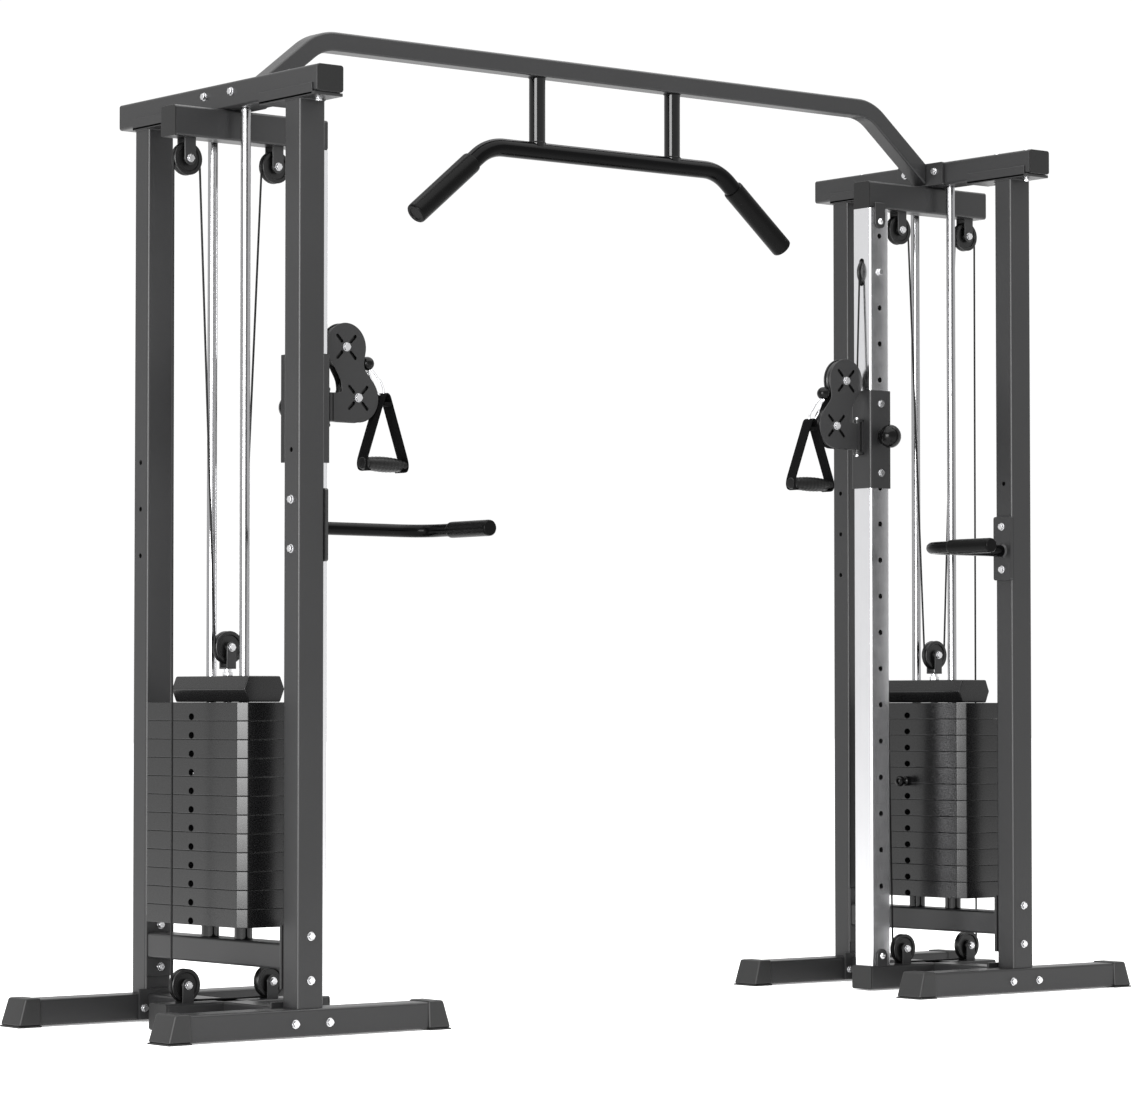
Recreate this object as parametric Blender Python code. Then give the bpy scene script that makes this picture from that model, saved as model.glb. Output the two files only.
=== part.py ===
"""Cable crossover machine: two weight-stack towers joined by a raised cross tube and pull-up bar."""
import math

import bmesh
import bpy
from mathutils import Matrix, Vector

# Frame of each tower. U is the distance from the machine's centre plane, Y runs front (-) to back (+).
TOWER_U = 1.107          # centre of the posts, feet ties and top beam
POST_Y = 0.3085          # posts stand this far in front of and behind the tower's middle
TUBE_WIDE = 0.070        # long side of the frame tube
TUBE_NARROW = 0.060      # short side of the frame tube
WALL = 0.003
FLOOR_GAP = 0.003        # tube clearance under the feet
FOOT_Y = 0.310
FOOT_HALF_Y = 0.0365
FOOT_IN = 0.728          # inner and outer end of each foot, over the rubber caps
FOOT_OUT = 1.488
CAP_LONG = 0.061
CAP_HALF_Y = 0.0435
BASE_TOP = FLOOR_GAP + TUBE_NARROW
BEAM_LOW = 2.0895
BEAM_HIGH = 2.150
BEAM_HALF_Y = 0.408
GAP = 0.0003

# Cable plane: column, pulleys, stack and cross tube share it.
PLANE_Y = -0.011
COLUMN_U = 0.888
COLUMN_HALF = 0.0325
COLUMN_WALL = 0.0025
HOLE_FIRST = 0.267
HOLE_PITCH = 0.0933
HOLE_COUNT = 17
AXLE_Z = HOLE_FIRST + HOLE_PITCH * HOLE_COUNT
AXLE_R = 0.005
BORE_R = 0.0056

# Pulleys: centre (u, z), outer radius, radius of the cable's centre line.
SMALL_OUT = 0.0375
SMALL_RUN = 0.0352
TOP_INNER = (0.9855, 1.9715)
TOP_OUTER = (1.2264, 1.9715)
BASE_INNER = (0.9938, 0.1017)
BASE_OUTER = (1.2240, 0.1017)
COLUMN_PULLEY = (COLUMN_U, AXLE_Z)
BIG_OUT = 0.0525
COLUMN_OUT = 0.0425
COLUMN_RUN = 0.040
BLOCK_RUN = 0.049
BLOCK_UPPER = (0.789, 1.567)
BLOCK_LOWER = (0.755, 1.4495)
SWIVEL_U = BLOCK_UPPER[0] + BLOCK_RUN
PULLEY_HALF = 0.009

# Weight stack.
STACK_U = 1.110
ROD_Y = 0.067
ROD_R = 0.0115
PLATE_COUNT = 12
PLATE_PITCH = 0.04184
STACK_LOW = 0.2369
PLATE_HALF_U = 0.098
PLATE_HALF_Y = 0.2015
PLATE_CHAMFER = 0.018
SELECTOR_RISE = 0.0054
HEAD_LOW = STACK_LOW + PLATE_COUNT * PLATE_PITCH + GAP
HEAD_HIGH = 0.798
STACK_PULLEY = (STACK_U, 0.8635)
LIFTED = {-1: 4, 1: 5}

# Carriage, swivelling pulley block and handle.
SLEEVE_HALF = 0.0365
SLEEVE_LOW = 1.2925
SLEEVE_HIGH = 1.545
PIN_Z = 1.425
PIN_OUT = {-1: 1, 1: -1}         # the spring pin faces the back on the left tower, the front on the right
PIN_REACH = 0.061                # knob tip from the sleeve's face
EAR_LOW = (1.379, 1.386)
EAR_HIGH = (1.463, 1.470)
ANCHOR = (0.932, 1.2920)
PAD_U = 0.942
CABLE_R = 0.0025
BALL = (0.7205, 1.532)
BALL_R = 0.0165
APEX_U = 0.6745
APEX_Z = 1.4668
GRIP_Z = 1.297
STRAP_HALF_Y = 0.016
HANDLE_TURN = {-1: 14, 1: 7}    # each loop hangs turned about the vertical, in degrees

# Dip handle on each front post.
DIP_Y = -0.310
DIP_CORNER_U = 0.779
DIP_END_Y = -0.562
DIP_BAR_Z = 1.1265
DIP_GRIP = 0.107
DIP_HOLES = (1.079, 1.1885, 1.298)

# Cross tube and pull-up bar.
CROSS_LOW = 2.255
CROSS_HIGH = 2.300
CROSS_HALF_Y = 0.025
CROSS_BEND_U = 0.826
CROSS_BEND_R = 0.1425
CROSS_SLOPE = 38.5
HANGER_U = 0.214

SHIFT_Y = -(DIP_END_Y + BEAM_HALF_Y) / 2

PAINT = (0.075, 0.075, 0.078), 0.4, 0.45
CHROME = (0.78, 0.79, 0.80), 1.0, 0.08
BLACK = (0.012, 0.012, 0.013), 0.0, 0.40
VINYL = (0.055, 0.055, 0.057), 0.0, 0.35
CLOTH = (0.010, 0.010, 0.011), 0.0, 0.90
CORE = (0.020, 0.020, 0.022), 0.1, 0.50


def clear_scene():
    for obj in list(bpy.data.objects):
        bpy.data.objects.remove(obj, do_unlink=True)


def solid(verts, faces, name="piece"):
    """A closed mesh object with its faces turned outward."""
    mesh = bpy.data.meshes.new(name)
    mesh.from_pydata(verts, [], faces)
    bm = bmesh.new()
    bm.from_mesh(mesh)
    bmesh.ops.recalc_face_normals(bm, faces=bm.faces)
    bm.to_mesh(mesh)
    bm.free()
    obj = bpy.data.objects.new(name, mesh)
    bpy.context.scene.collection.objects.link(obj)
    return obj


def box(x, y, z):
    """A box between the two values of each pair, in either order."""
    verts = [(x[i], y[j], z[k]) for i in (0, 1) for j in (0, 1) for k in (0, 1)]
    faces = [(0, 1, 3, 2), (4, 6, 7, 5), (0, 4, 5, 1), (2, 3, 7, 6), (0, 2, 6, 4), (1, 5, 7, 3)]
    return solid(verts, faces)


def frustum(low, high, z):
    """A block with one rectangle (x pair, y pair) below and another above."""
    verts = [(x, y, z[0]) for x, y in corners(*low)]
    verts += [(x, y, z[1]) for x, y in corners(*high)]
    faces = [(0, 1, 2, 3), (4, 5, 6, 7)] + [(i, (i + 1) % 4, 4 + (i + 1) % 4, 4 + i) for i in range(4)]
    return solid(verts, faces)


def corners(a, b):
    return [(a[0], b[0]), (a[1], b[0]), (a[1], b[1]), (a[0], b[1])]


def place(axis, a, b, along):
    """Turns plane coordinates and a height along an axis into a point."""
    if axis == "X":
        return (along, a, b)
    if axis == "Y":
        return (a, along, b)
    return (a, b, along)


def prism(outline, axis, low, high):
    """An outline extruded along one axis."""
    count = len(outline)
    verts = [place(axis, a, b, low) for a, b in outline]
    verts += [place(axis, a, b, high) for a, b in outline]
    faces = [tuple(range(count)), tuple(range(count, 2 * count))]
    faces += [(i, (i + 1) % count, count + (i + 1) % count, count + i) for i in range(count)]
    return solid(verts, faces)


def ring_prism(outer, inner, low, high):
    """An open-ended rectangular tube standing along Z."""
    verts = []
    for loop in (outer, inner):
        for z in (low, high):
            verts += [(a, b, z) for a, b in loop]
    faces = []
    for i in range(4):
        j = (i + 1) % 4
        faces.append((i, j, 4 + j, 4 + i))
        faces.append((8 + i, 8 + j, 12 + j, 12 + i))
        faces.append((i, j, 8 + j, 8 + i))
        faces.append((4 + i, 4 + j, 12 + j, 12 + i))
    return solid(verts, faces)


def arc(centre, radius, start, end, steps):
    """Points along an arc, angles in degrees."""
    points = []
    for i in range(steps + 1):
        angle = math.radians(start + (end - start) * i / steps)
        points.append((centre[0] + radius * math.cos(angle), centre[1] + radius * math.sin(angle)))
    return points


def lathe(profile, axis, centre, steps, closed):
    """A profile of (radius, height) pairs turned about an axis; closed profiles leave a bore."""
    spin = []
    verts = []
    for radius, height in profile:
        if radius == 0:
            spin.append([len(verts)] * steps)
            verts.append(turned(axis, centre, 0, 0, height))
            continue
        spin.append(list(range(len(verts), len(verts) + steps)))
        for k in range(steps):
            angle = 2 * math.pi * k / steps
            verts.append(turned(axis, centre, radius, angle, height))
    faces = []
    pairs = list(zip(spin, spin[1:]))
    if closed:
        pairs.append((spin[-1], spin[0]))
    for one, two in pairs:
        for k in range(steps):
            m = (k + 1) % steps
            face = []
            for index in (one[k], one[m], two[m], two[k]):
                if index not in face:
                    face.append(index)
            faces.append(tuple(face))
    return solid(verts, faces)


def turned(axis, centre, radius, angle, height):
    a = radius * math.cos(angle)
    b = radius * math.sin(angle)
    if axis == "X":
        return (centre[0] + height, centre[1] + a, centre[2] + b)
    if axis == "Y":
        return (centre[0] + a, centre[1] + height, centre[2] + b)
    return (centre[0] + a, centre[1] + b, centre[2] + height)


def rod(axis, centre, low, high, radius, steps=12):
    """A round bar whose ends lie at two heights along its axis from the centre."""
    return lathe([(0, low), (radius, low), (radius, high), (0, high)], axis, centre, steps, False)


def sweep(path, radius, sides):
    """A round bar along a path of points, with flat ends."""
    points = [Vector(p) for p in path]
    count = len(points)
    verts = []
    side = None
    for i, point in enumerate(points):
        before = (point - points[i - 1]).normalized() if i else None
        after = (points[i + 1] - point).normalized() if i + 1 < count else None
        tangent = before or after
        if before and after:
            tangent = (before + after).normalized()
        if side is None:
            side = tangent.orthogonal().normalized()
        side = (side - tangent * side.dot(tangent)).normalized()
        other = tangent.cross(side)
        for k in range(sides):
            angle = 2 * math.pi * k / sides
            verts.append(point + radius * (math.cos(angle) * side + math.sin(angle) * other))
    faces = [tuple(range(sides)), tuple(range((count - 1) * sides, count * sides))]
    for i in range(count - 1):
        for k in range(sides):
            m = (k + 1) % sides
            row = i * sides
            faces.append((row + k, row + m, row + sides + m, row + sides + k))
    return solid(verts, faces)


def combine(target, tools, operation):
    """Joins or cuts the tools into the target one by one and removes them."""
    for tool in tools:
        step = target.modifiers.new("step", "BOOLEAN")
        step.operation = operation
        step.solver = "EXACT"
        step.object = tool
        graph = bpy.context.evaluated_depsgraph_get()
        mesh = bpy.data.meshes.new_from_object(target.evaluated_get(graph))
        target.modifiers.clear()
        target.data = mesh
        bpy.data.objects.remove(tool, do_unlink=True)
    return target


def bunch(tools):
    """Separate cutters gathered into one mesh, so that they cut in one step."""
    bm = bmesh.new()
    for tool in tools:
        bm.from_mesh(tool.data)
        bpy.data.objects.remove(tool, do_unlink=True)
    mesh = bpy.data.meshes.new("bunch")
    bm.to_mesh(mesh)
    bm.free()
    obj = bpy.data.objects.new("bunch", mesh)
    bpy.context.scene.collection.objects.link(obj)
    return obj


def fuse(target, tools):
    return combine(target, tools, "UNION")


def cut(target, tools):
    return combine(target, tools, "DIFFERENCE")


def finish(obj, name, look, origin=(0, 0, 0)):
    """Names the piece, gives it its material and puts its origin where it turns or slides."""
    origin = Vector(origin)
    bm = bmesh.new()
    bm.from_mesh(obj.data)
    bmesh.ops.remove_doubles(bm, verts=bm.verts, dist=0.00002)
    bmesh.ops.dissolve_degenerate(bm, dist=0.00002, edges=bm.edges)
    bmesh.ops.translate(bm, vec=-origin, verts=bm.verts)
    bmesh.ops.triangulate(bm, faces=bm.faces)
    bm.to_mesh(obj.data)
    bm.free()
    obj.location = origin + Vector((0, SHIFT_Y, 0))
    obj.name = name
    obj.data.name = name
    color, metallic, roughness = look
    material = bpy.data.materials.new(name)
    material.use_nodes = True
    shader = material.node_tree.nodes["Principled BSDF"]
    shader.inputs["Base Color"].default_value = (*color, 1.0)
    shader.inputs["Metallic"].default_value = metallic
    shader.inputs["Roughness"].default_value = roughness
    obj.data.materials.clear()
    obj.data.materials.append(material)
    return obj


def span(side, u, half):
    """The x pair of a piece centred at u on one side of the machine."""
    return (side * (u - half), side * (u + half))


def between(side, low, high):
    return (side * low, side * high)


def post(side, place_y, name):
    """Upright with a saddle under the top beam and three through holes for a dip handle."""
    front = -1 if place_y < 0 else 1
    x_out = span(side, TOWER_U, TUBE_WIDE / 2)
    x_in = span(side, TOWER_U, TUBE_WIDE / 2 - WALL)
    y_out = (place_y - TUBE_NARROW / 2, place_y + TUBE_NARROW / 2)
    y_in = (y_out[0] + WALL, y_out[1] - WALL)
    saddle_low = BEAM_LOW - 0.008
    body = ring_prism(corners(x_out, y_out), corners(x_in, y_in), BASE_TOP + GAP, saddle_low + 0.001)
    reach = 0.092 if front < 0 else 0.036
    saddle_y = (place_y + front * reach, place_y - front * 0.127)
    lip_y = (place_y + front * min(reach, 0.081), saddle_y[1])
    saddle = box(span(side, TOWER_U, 0.0385), saddle_y, (saddle_low, BEAM_LOW - GAP))
    lips = []
    for sign in (-1, 1):
        inner = TOWER_U + sign * (TUBE_WIDE / 2 + 0.0005)
        outer = TOWER_U + sign * 0.0385
        lips.append(box(between(side, inner, outer), lip_y, (saddle_low + 0.001, BEAM_LOW + 0.020)))
    fuse(body, [saddle] + lips)
    drills = [rod("X", (side * TOWER_U, place_y, z), -0.05, 0.05, 0.0056, 8) for z in DIP_HOLES]
    cut(body, [bunch(drills)])
    finish(body, name, PAINT)


def end_cap(side, outer_end, inner_end, place_y):
    """Tapered rubber foot over one end of a foot tube."""
    slope = 0.020 if outer_end > inner_end else -0.020
    low = (between(side, outer_end, inner_end), (place_y - CAP_HALF_Y, place_y + CAP_HALF_Y))
    half = CAP_HALF_Y - 0.0035
    high = (between(side, outer_end - slope, inner_end + slope / 5), (place_y - half, place_y + half))
    return frustum(low, high, (0, BASE_TOP + 0.003))


def foot(side, place_y, name):
    """Floor tube along the machine with a rubber cap on each end."""
    y = (place_y - FOOT_HALF_Y, place_y + FOOT_HALF_Y)
    body = box(between(side, FOOT_IN + 0.022, FOOT_OUT - 0.022), y, (FLOOR_GAP, BASE_TOP))
    caps = [end_cap(side, FOOT_OUT, FOOT_OUT - CAP_LONG, place_y)]
    caps.append(end_cap(side, FOOT_IN, FOOT_IN + CAP_LONG, place_y))
    fuse(body, caps)
    hollow = box(between(side, FOOT_IN + 0.070, FOOT_OUT - 0.070), (y[0] + WALL, y[1] - WALL),
                 (FLOOR_GAP + WALL, BASE_TOP - WALL))
    vent = rod("Z", (side * (TOWER_U + 0.18), place_y, 0), 0, 0.03, 0.004, 8)
    cut(body, [hollow, vent])
    finish(body, name, PAINT)


def strap_plates(side, centre, end_z, half_u=0.015):
    """The two cheeks of a pulley bracket and the axle between them."""
    u, z = centre
    round_end = (0, 180) if end_z < z else (180, 360)
    pieces = []
    for low, high in ((-0.0165, -0.0135), (0.0135, 0.0165)):
        outline = [(side * (u + a), b) for a, b in arc((0, z), half_u, *round_end, 5)]
        outline += [(side * (u - half_u if end_z < z else u + half_u), end_z)]
        outline += [(side * (u + half_u if end_z < z else u - half_u), end_z)]
        pieces.append(prism(outline, "Y", PLANE_Y + low, PLANE_Y + high))
    pieces.append(rod("Y", (side * u, PLANE_Y, z), -0.020, 0.020, AXLE_R, 10))
    return pieces


def column_tab(side, sign, tip_z, root_z, inner=0.0):
    """Rounded tab that holds one end of the column."""
    round_end = (0, 180) if root_z < tip_z else (180, 360)
    half = 0.018 if root_z < tip_z else -0.018
    outline = [(side * (COLUMN_U + a), b) for a, b in arc((0, tip_z), 0.018, *round_end, 5)]
    outline += [(side * (COLUMN_U - half), root_z), (side * (COLUMN_U + half), root_z)]
    near = PLANE_Y + sign * (COLUMN_HALF + GAP)
    far = PLANE_Y + sign * (COLUMN_HALF + 0.0037)
    return prism(outline, "Y", near, far)


def base_frame(side, prefix):
    """Floor weldment: tie between the feet, beam under the column, two pulley brackets."""
    tie_x = span(side, TOWER_U, TUBE_WIDE / 2)
    tie_end = FOOT_Y - FOOT_HALF_Y - GAP
    body = box(tie_x, (-tie_end, tie_end), (FLOOR_GAP, BASE_TOP))
    beam_y = (PLANE_Y - 0.0365, PLANE_Y + 0.0365)
    parts = [box(between(side, 0.849, 1.295), beam_y, (FLOOR_GAP, BASE_TOP))]
    for sign in (-1, 1):
        flange_y = (sign * (tie_end - 0.008), sign * tie_end)
        parts.append(box(span(side, TOWER_U, 0.060), flange_y, (FLOOR_GAP + 0.002, BASE_TOP + 0.012)))
        parts.append(column_tab(side, sign, 0.088, BASE_TOP - 0.002))
    parts += strap_plates(side, BASE_INNER, BASE_TOP - 0.002)
    parts += strap_plates(side, BASE_OUTER, BASE_TOP - 0.002)
    fuse(body, parts)
    inside = (FLOOR_GAP + WALL, BASE_TOP - WALL)
    hollow = box(between(side, 0.852, 1.292), (beam_y[0] + WALL, beam_y[1] - WALL), inside)
    tie_room = box(span(side, TOWER_U, TUBE_WIDE / 2 - WALL), (-0.262, 0.262), inside)
    vent = rod("Z", (side * 1.20, PLANE_Y, 0), 0, 0.03, 0.004, 8)
    cut(body, [fuse(hollow, [tie_room]), vent])
    finish(body, prefix + "base_frame", PAINT)


def lower_crossbeam(side, prefix):
    """Tie between the posts that carries the guide rods and the stack."""
    end = POST_Y - TUBE_NARROW / 2 - GAP
    body = box(span(side, TOWER_U, TUBE_WIDE / 2), (-end, end), (0.147, 0.2045))
    flanges = []
    for sign in (-1, 1):
        flanges.append(box(span(side, TOWER_U, 0.037), (sign * (end - 0.008), sign * end), (0.103, 0.246)))
    fuse(body, flanges)
    hollow = box(span(side, TOWER_U, TUBE_WIDE / 2 - WALL), (0.011 - end, end - 0.011), (0.150, 0.2015))
    vent = rod("Z", (side * TOWER_U, 0.02, 0), 0.13, 0.17, 0.004, 8)
    cut(body, [hollow, vent])
    finish(body, prefix + "lower_crossbeam", PAINT)


def top_beam(side, prefix):
    """Beam across the tops of both posts."""
    body = box(span(side, TOWER_U, TUBE_WIDE / 2), (-BEAM_HALF_Y, BEAM_HALF_Y), (BEAM_LOW, BEAM_HIGH))
    hollow = box(span(side, TOWER_U, TUBE_WIDE / 2 - WALL), (WALL - BEAM_HALF_Y, BEAM_HALF_Y - WALL),
                 (BEAM_LOW + WALL, BEAM_HIGH - WALL))
    vent = rod("Z", (side * TOWER_U, 0.12, 0), 2.07, 2.11, 0.004, 8)
    cut(body, [hollow, vent])
    finish(body, prefix + "top_beam", PAINT)


def pulley_beam(side, prefix):
    """Beam under the top beam with two hanging pulley brackets and the column's upper tabs."""
    low = BEAM_LOW - GAP - 0.070
    high = BEAM_LOW - GAP
    y = (PLANE_Y - 0.030, PLANE_Y + 0.030)
    body = box(between(side, 0.855, 1.277), y, (low, high))
    parts = strap_plates(side, TOP_INNER, low + 0.002) + strap_plates(side, TOP_OUTER, low + 0.002)
    for sign in (-1, 1):
        parts.append(column_tab(side, sign, 1.991, low + 0.014))
        rail_y = (PLANE_Y + sign * 0.028, PLANE_Y + sign * (COLUMN_HALF + 0.0037))
        parts.append(box(span(side, COLUMN_U, 0.018), rail_y, (low + GAP, low + 0.014)))
    fuse(body, parts)
    hollow = box(between(side, 0.858, 1.274), (y[0] + WALL, y[1] - WALL), (low + WALL, high - WALL))
    vent = rod("Z", (side * 1.16, PLANE_Y, 0), low - 0.01, low + 0.02, 0.004, 8)
    cut(body, [hollow, vent])
    finish(body, prefix + "pulley_beam", PAINT)


def guide_rod(side, sign, name):
    """Polished rod with its stack bumper at the foot."""
    profile = [(0, 0.2045 + GAP), (0.020, 0.2045 + GAP), (0.020, STACK_LOW - GAP)]
    profile += [(ROD_R, STACK_LOW - GAP), (ROD_R, BEAM_LOW - GAP), (0, BEAM_LOW - GAP)]
    finish(lathe(profile, "Z", (side * STACK_U, PLANE_Y + sign * ROD_Y, 0), 14, False), name, CHROME)


def column(side, prefix):
    """Polished square column with height holes, a pulley axle and slots for the cable."""
    half = COLUMN_HALF
    inner = half - COLUMN_WALL
    low = BASE_TOP + GAP
    high = BEAM_LOW - 2 * GAP - 0.070
    outer_loop = corners(span(side, COLUMN_U, half), (PLANE_Y - half, PLANE_Y + half))
    inner_loop = corners(span(side, COLUMN_U, inner), (PLANE_Y - inner, PLANE_Y + inner))
    body = ring_prism(outer_loop, inner_loop, low, high)
    tools = []
    for k in list(range(HOLE_COUNT)) + [HOLE_COUNT + 1]:
        centre = (side * COLUMN_U, PLANE_Y, HOLE_FIRST + HOLE_PITCH * k)
        tools.append(rod("Y", centre, *sorted((0.02 * PIN_OUT[side], 0.04 * PIN_OUT[side])), 0.0055, 6))
    inner_slot = between(side, COLUMN_U - 0.05, COLUMN_U - 0.02)
    outer_slot = between(side, COLUMN_U + 0.02, COLUMN_U + 0.05)
    slot_y = (PLANE_Y - 0.011, PLANE_Y + 0.011)
    tools.append(box(inner_slot, slot_y, (AXLE_Z - 0.036, AXLE_Z + 0.036)))
    tools.append(box(outer_slot, slot_y, (AXLE_Z - 0.044, AXLE_Z + 0.140)))
    cut(body, [bunch(tools)])
    fuse(body, [rod("Y", (side * COLUMN_U, PLANE_Y, AXLE_Z), -0.031, 0.031, AXLE_R, 10)])
    finish(body, prefix + "column", CHROME)


def pulley(side, centre, outer, run, name):
    """Grooved wheel with a running bore."""
    floor = run - CABLE_R - 0.0012
    edge = PULLEY_HALF
    profile = [(BORE_R, -edge), (outer, -edge), (floor, -0.0028)]
    profile += [(floor, 0.0028), (outer, edge), (BORE_R, edge)]
    origin = (side * centre[0], PLANE_Y, centre[1])
    finish(lathe(profile, "Y", origin, 12, True), name, BLACK, origin)


def dip_handle(side, prefix):
    """Bolted plate and bent bar with a foam grip pointing forward."""
    face = TOWER_U - TUBE_WIDE / 2 - GAP
    body = box(between(side, face - 0.008, face), (DIP_Y - 0.0315, DIP_Y + 0.0315), (1.0515, 1.2145))
    bend = 0.055
    turn = arc((DIP_CORNER_U + bend, DIP_Y - bend), bend, 90, 180, 5)
    path = [(side * (face - 0.004), DIP_Y, DIP_BAR_Z)]
    path += [(side * u, y, DIP_BAR_Z) for u, y in turn]
    path.append((side * DIP_CORNER_U, DIP_END_Y + 0.004, DIP_BAR_Z))
    bar = sweep(path, 0.0148, 12)
    grip = rod("Y", (side * DIP_CORNER_U, 0, DIP_BAR_Z), DIP_END_Y, DIP_Y - DIP_GRIP, 0.0185, 14)
    fuse(body, [bar, grip])
    drills = [rod("X", (side * face, DIP_Y, z), -0.03, 0.03, 0.0056, 8) for z in DIP_HOLES[:2]]
    cut(body, drills)
    finish(body, prefix + "dip_handle", PAINT)


def carriage(side, prefix):
    """Sleeve on the column with the hinge ears, hinge pin and the pad that anchors the cable."""
    room = COLUMN_HALF + GAP
    outer_loop = corners(span(side, COLUMN_U, SLEEVE_HALF), (PLANE_Y - SLEEVE_HALF, PLANE_Y + SLEEVE_HALF))
    inner_loop = corners(span(side, COLUMN_U, room), (PLANE_Y - room, PLANE_Y + room))
    body = ring_prism(outer_loop, inner_loop, SLEEVE_LOW, SLEEVE_HIGH)
    face = COLUMN_U - SLEEVE_HALF
    hinge = (side * SWIVEL_U, PLANE_Y, 0)
    ear_y = (PLANE_Y - 0.011, PLANE_Y + 0.011)
    parts = []
    for ear in (EAR_LOW, EAR_HIGH):
        parts.append(box(between(side, SWIVEL_U - 0.010, face + 0.001), ear_y, ear))
    parts.append(rod("Z", hinge, EAR_LOW[0] - 0.006, EAR_HIGH[1] + 0.006, AXLE_R))
    back = COLUMN_U + SLEEVE_HALF
    pad_y = (PLANE_Y - 0.010, PLANE_Y + SLEEVE_HALF - 0.002)
    parts.append(box(between(side, back - 0.001, PAD_U), pad_y, (ANCHOR[1] + GAP, SLEEVE_HIGH - 0.002)))
    fuse(body, parts)
    depth = sorted((0.030 * PIN_OUT[side], 0.045 * PIN_OUT[side]))
    bore = rod("Y", (side * COLUMN_U, PLANE_Y, PIN_Z), *depth, 0.0072)
    cut(body, [bore])
    finish(body, prefix + "carriage", PAINT, (side * COLUMN_U, PLANE_Y, SLEEVE_LOW))


def pull_pin(side, prefix):
    """Spring pin with a large rounded knob."""
    out = PIN_OUT[side]
    seat = SLEEVE_HALF + 0.0005
    tip = SLEEVE_HALF + PIN_REACH
    profile = [(0, COLUMN_HALF + GAP), (0.0065, COLUMN_HALF + GAP), (0.0065, seat), (0.0215, seat)]
    profile += [(0.0195, seat + 0.006), (0.0195, tip - 0.048), (0.0255, tip - 0.038), (0.0305, tip - 0.026)]
    profile += [(0.0285, tip - 0.012), (0.018, tip - 0.003), (0, tip)]
    profile = [(radius, out * reach) for radius, reach in profile]
    origin = (side * COLUMN_U, PLANE_Y, PIN_Z)
    finish(lathe(profile, "Y", origin, 14, False), prefix + "pull_pin", BLACK, origin)


def lobe_outline(side):
    """Cheek of the swivelling block: two round lobes and a lug towards the hinge."""
    right_upper = arc(BLOCK_UPPER, 0.0565, -52, 188, 12)
    left_lower = arc(BLOCK_LOWER, 0.058, 138, 270, 7)
    lug = [(0.826, BLOCK_LOWER[1] - 0.058), (0.826, 1.459), (0.807, 1.460), (0.803, 1.472), (0.806, 1.492)]
    waist = [(0.739, 1.538), (0.740, 1.520), (0.730, 1.505)]
    outline = right_upper + waist + left_lower + lug
    return [(side * u, z) for u, z in outline]


def swivel_block(side, prefix):
    """Two cheeks on a hinge barrel with an axle for each guide pulley."""
    outline = lobe_outline(side)
    body = prism(outline, "Y", PLANE_Y + 0.0097, PLANE_Y + 0.0125)
    other = prism(outline, "Y", PLANE_Y - 0.0125, PLANE_Y - 0.0097)
    lug_z = (EAR_LOW[1] + 0.0055, EAR_HIGH[0] - 0.004)
    web = box(between(side, 0.8145, 0.834), (PLANE_Y - 0.0110, PLANE_Y + 0.0110), lug_z)
    barrel = rod("Z", (side * SWIVEL_U, PLANE_Y, 0), EAR_LOW[1] + GAP, EAR_HIGH[0] - GAP, 0.0088, 12)
    axles = []
    for u, z in (BLOCK_UPPER, BLOCK_LOWER):
        axles.append(rod("Y", (side * u, PLANE_Y, z), -0.0125, 0.0125, AXLE_R, 10))
    fuse(body, [web, other, barrel] + axles)
    bore = rod("Z", (side * SWIVEL_U, PLANE_Y, 0), EAR_LOW[0], EAR_HIGH[1], BORE_R)
    cut(body, [bore])
    finish(body, prefix + "swivel_block", PAINT, (side * SWIVEL_U, PLANE_Y, BLOCK_LOWER[1]))


def selector_z(index):
    """Height of the pin hole of a plate, counted from the top."""
    return STACK_LOW + (PLATE_COUNT - index) * PLATE_PITCH + SELECTOR_RISE


def plates(side, first, last, name, origin):
    """A run of stacked plates, counted from the top, with rod, stem and pin holes."""
    c = PLATE_CHAMFER
    low = STACK_LOW + (PLATE_COUNT - last) * PLATE_PITCH
    high = STACK_LOW + (PLATE_COUNT + 1 - first) * PLATE_PITCH - GAP
    a = PLATE_HALF_U
    b = PLATE_HALF_Y
    ring = [(a, b - c), (a - c, b), (c - a, b), (-a, b - c)]
    ring += [(-a, c - b), (c - a, -b), (a - c, -b), (a, c - b)]
    body = prism([(side * STACK_U + x, PLANE_Y + y) for x, y in ring], "Z", low, high)
    tools = [rod("Z", (side * STACK_U, PLANE_Y, 0), low - 0.01, high + 0.01, 0.0115, 10)]
    for sign in (-1, 1):
        centre = (side * STACK_U, PLANE_Y + sign * ROD_Y, 0)
        tools.append(rod("Z", centre, low - 0.01, high + 0.01, ROD_R + 0.0015, 12))
    for index in range(first, last + 1):
        foot_z = STACK_LOW + (PLATE_COUNT - index) * PLATE_PITCH
        notch = arc((PLANE_Y, foot_z), 0.0108, 0, 180, 6)
        tools.append(prism(notch, "X", side * STACK_U - 0.12, side * STACK_U + 0.12))
    cut(body, tools)
    finish(body, name, VINYL, origin)


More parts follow.
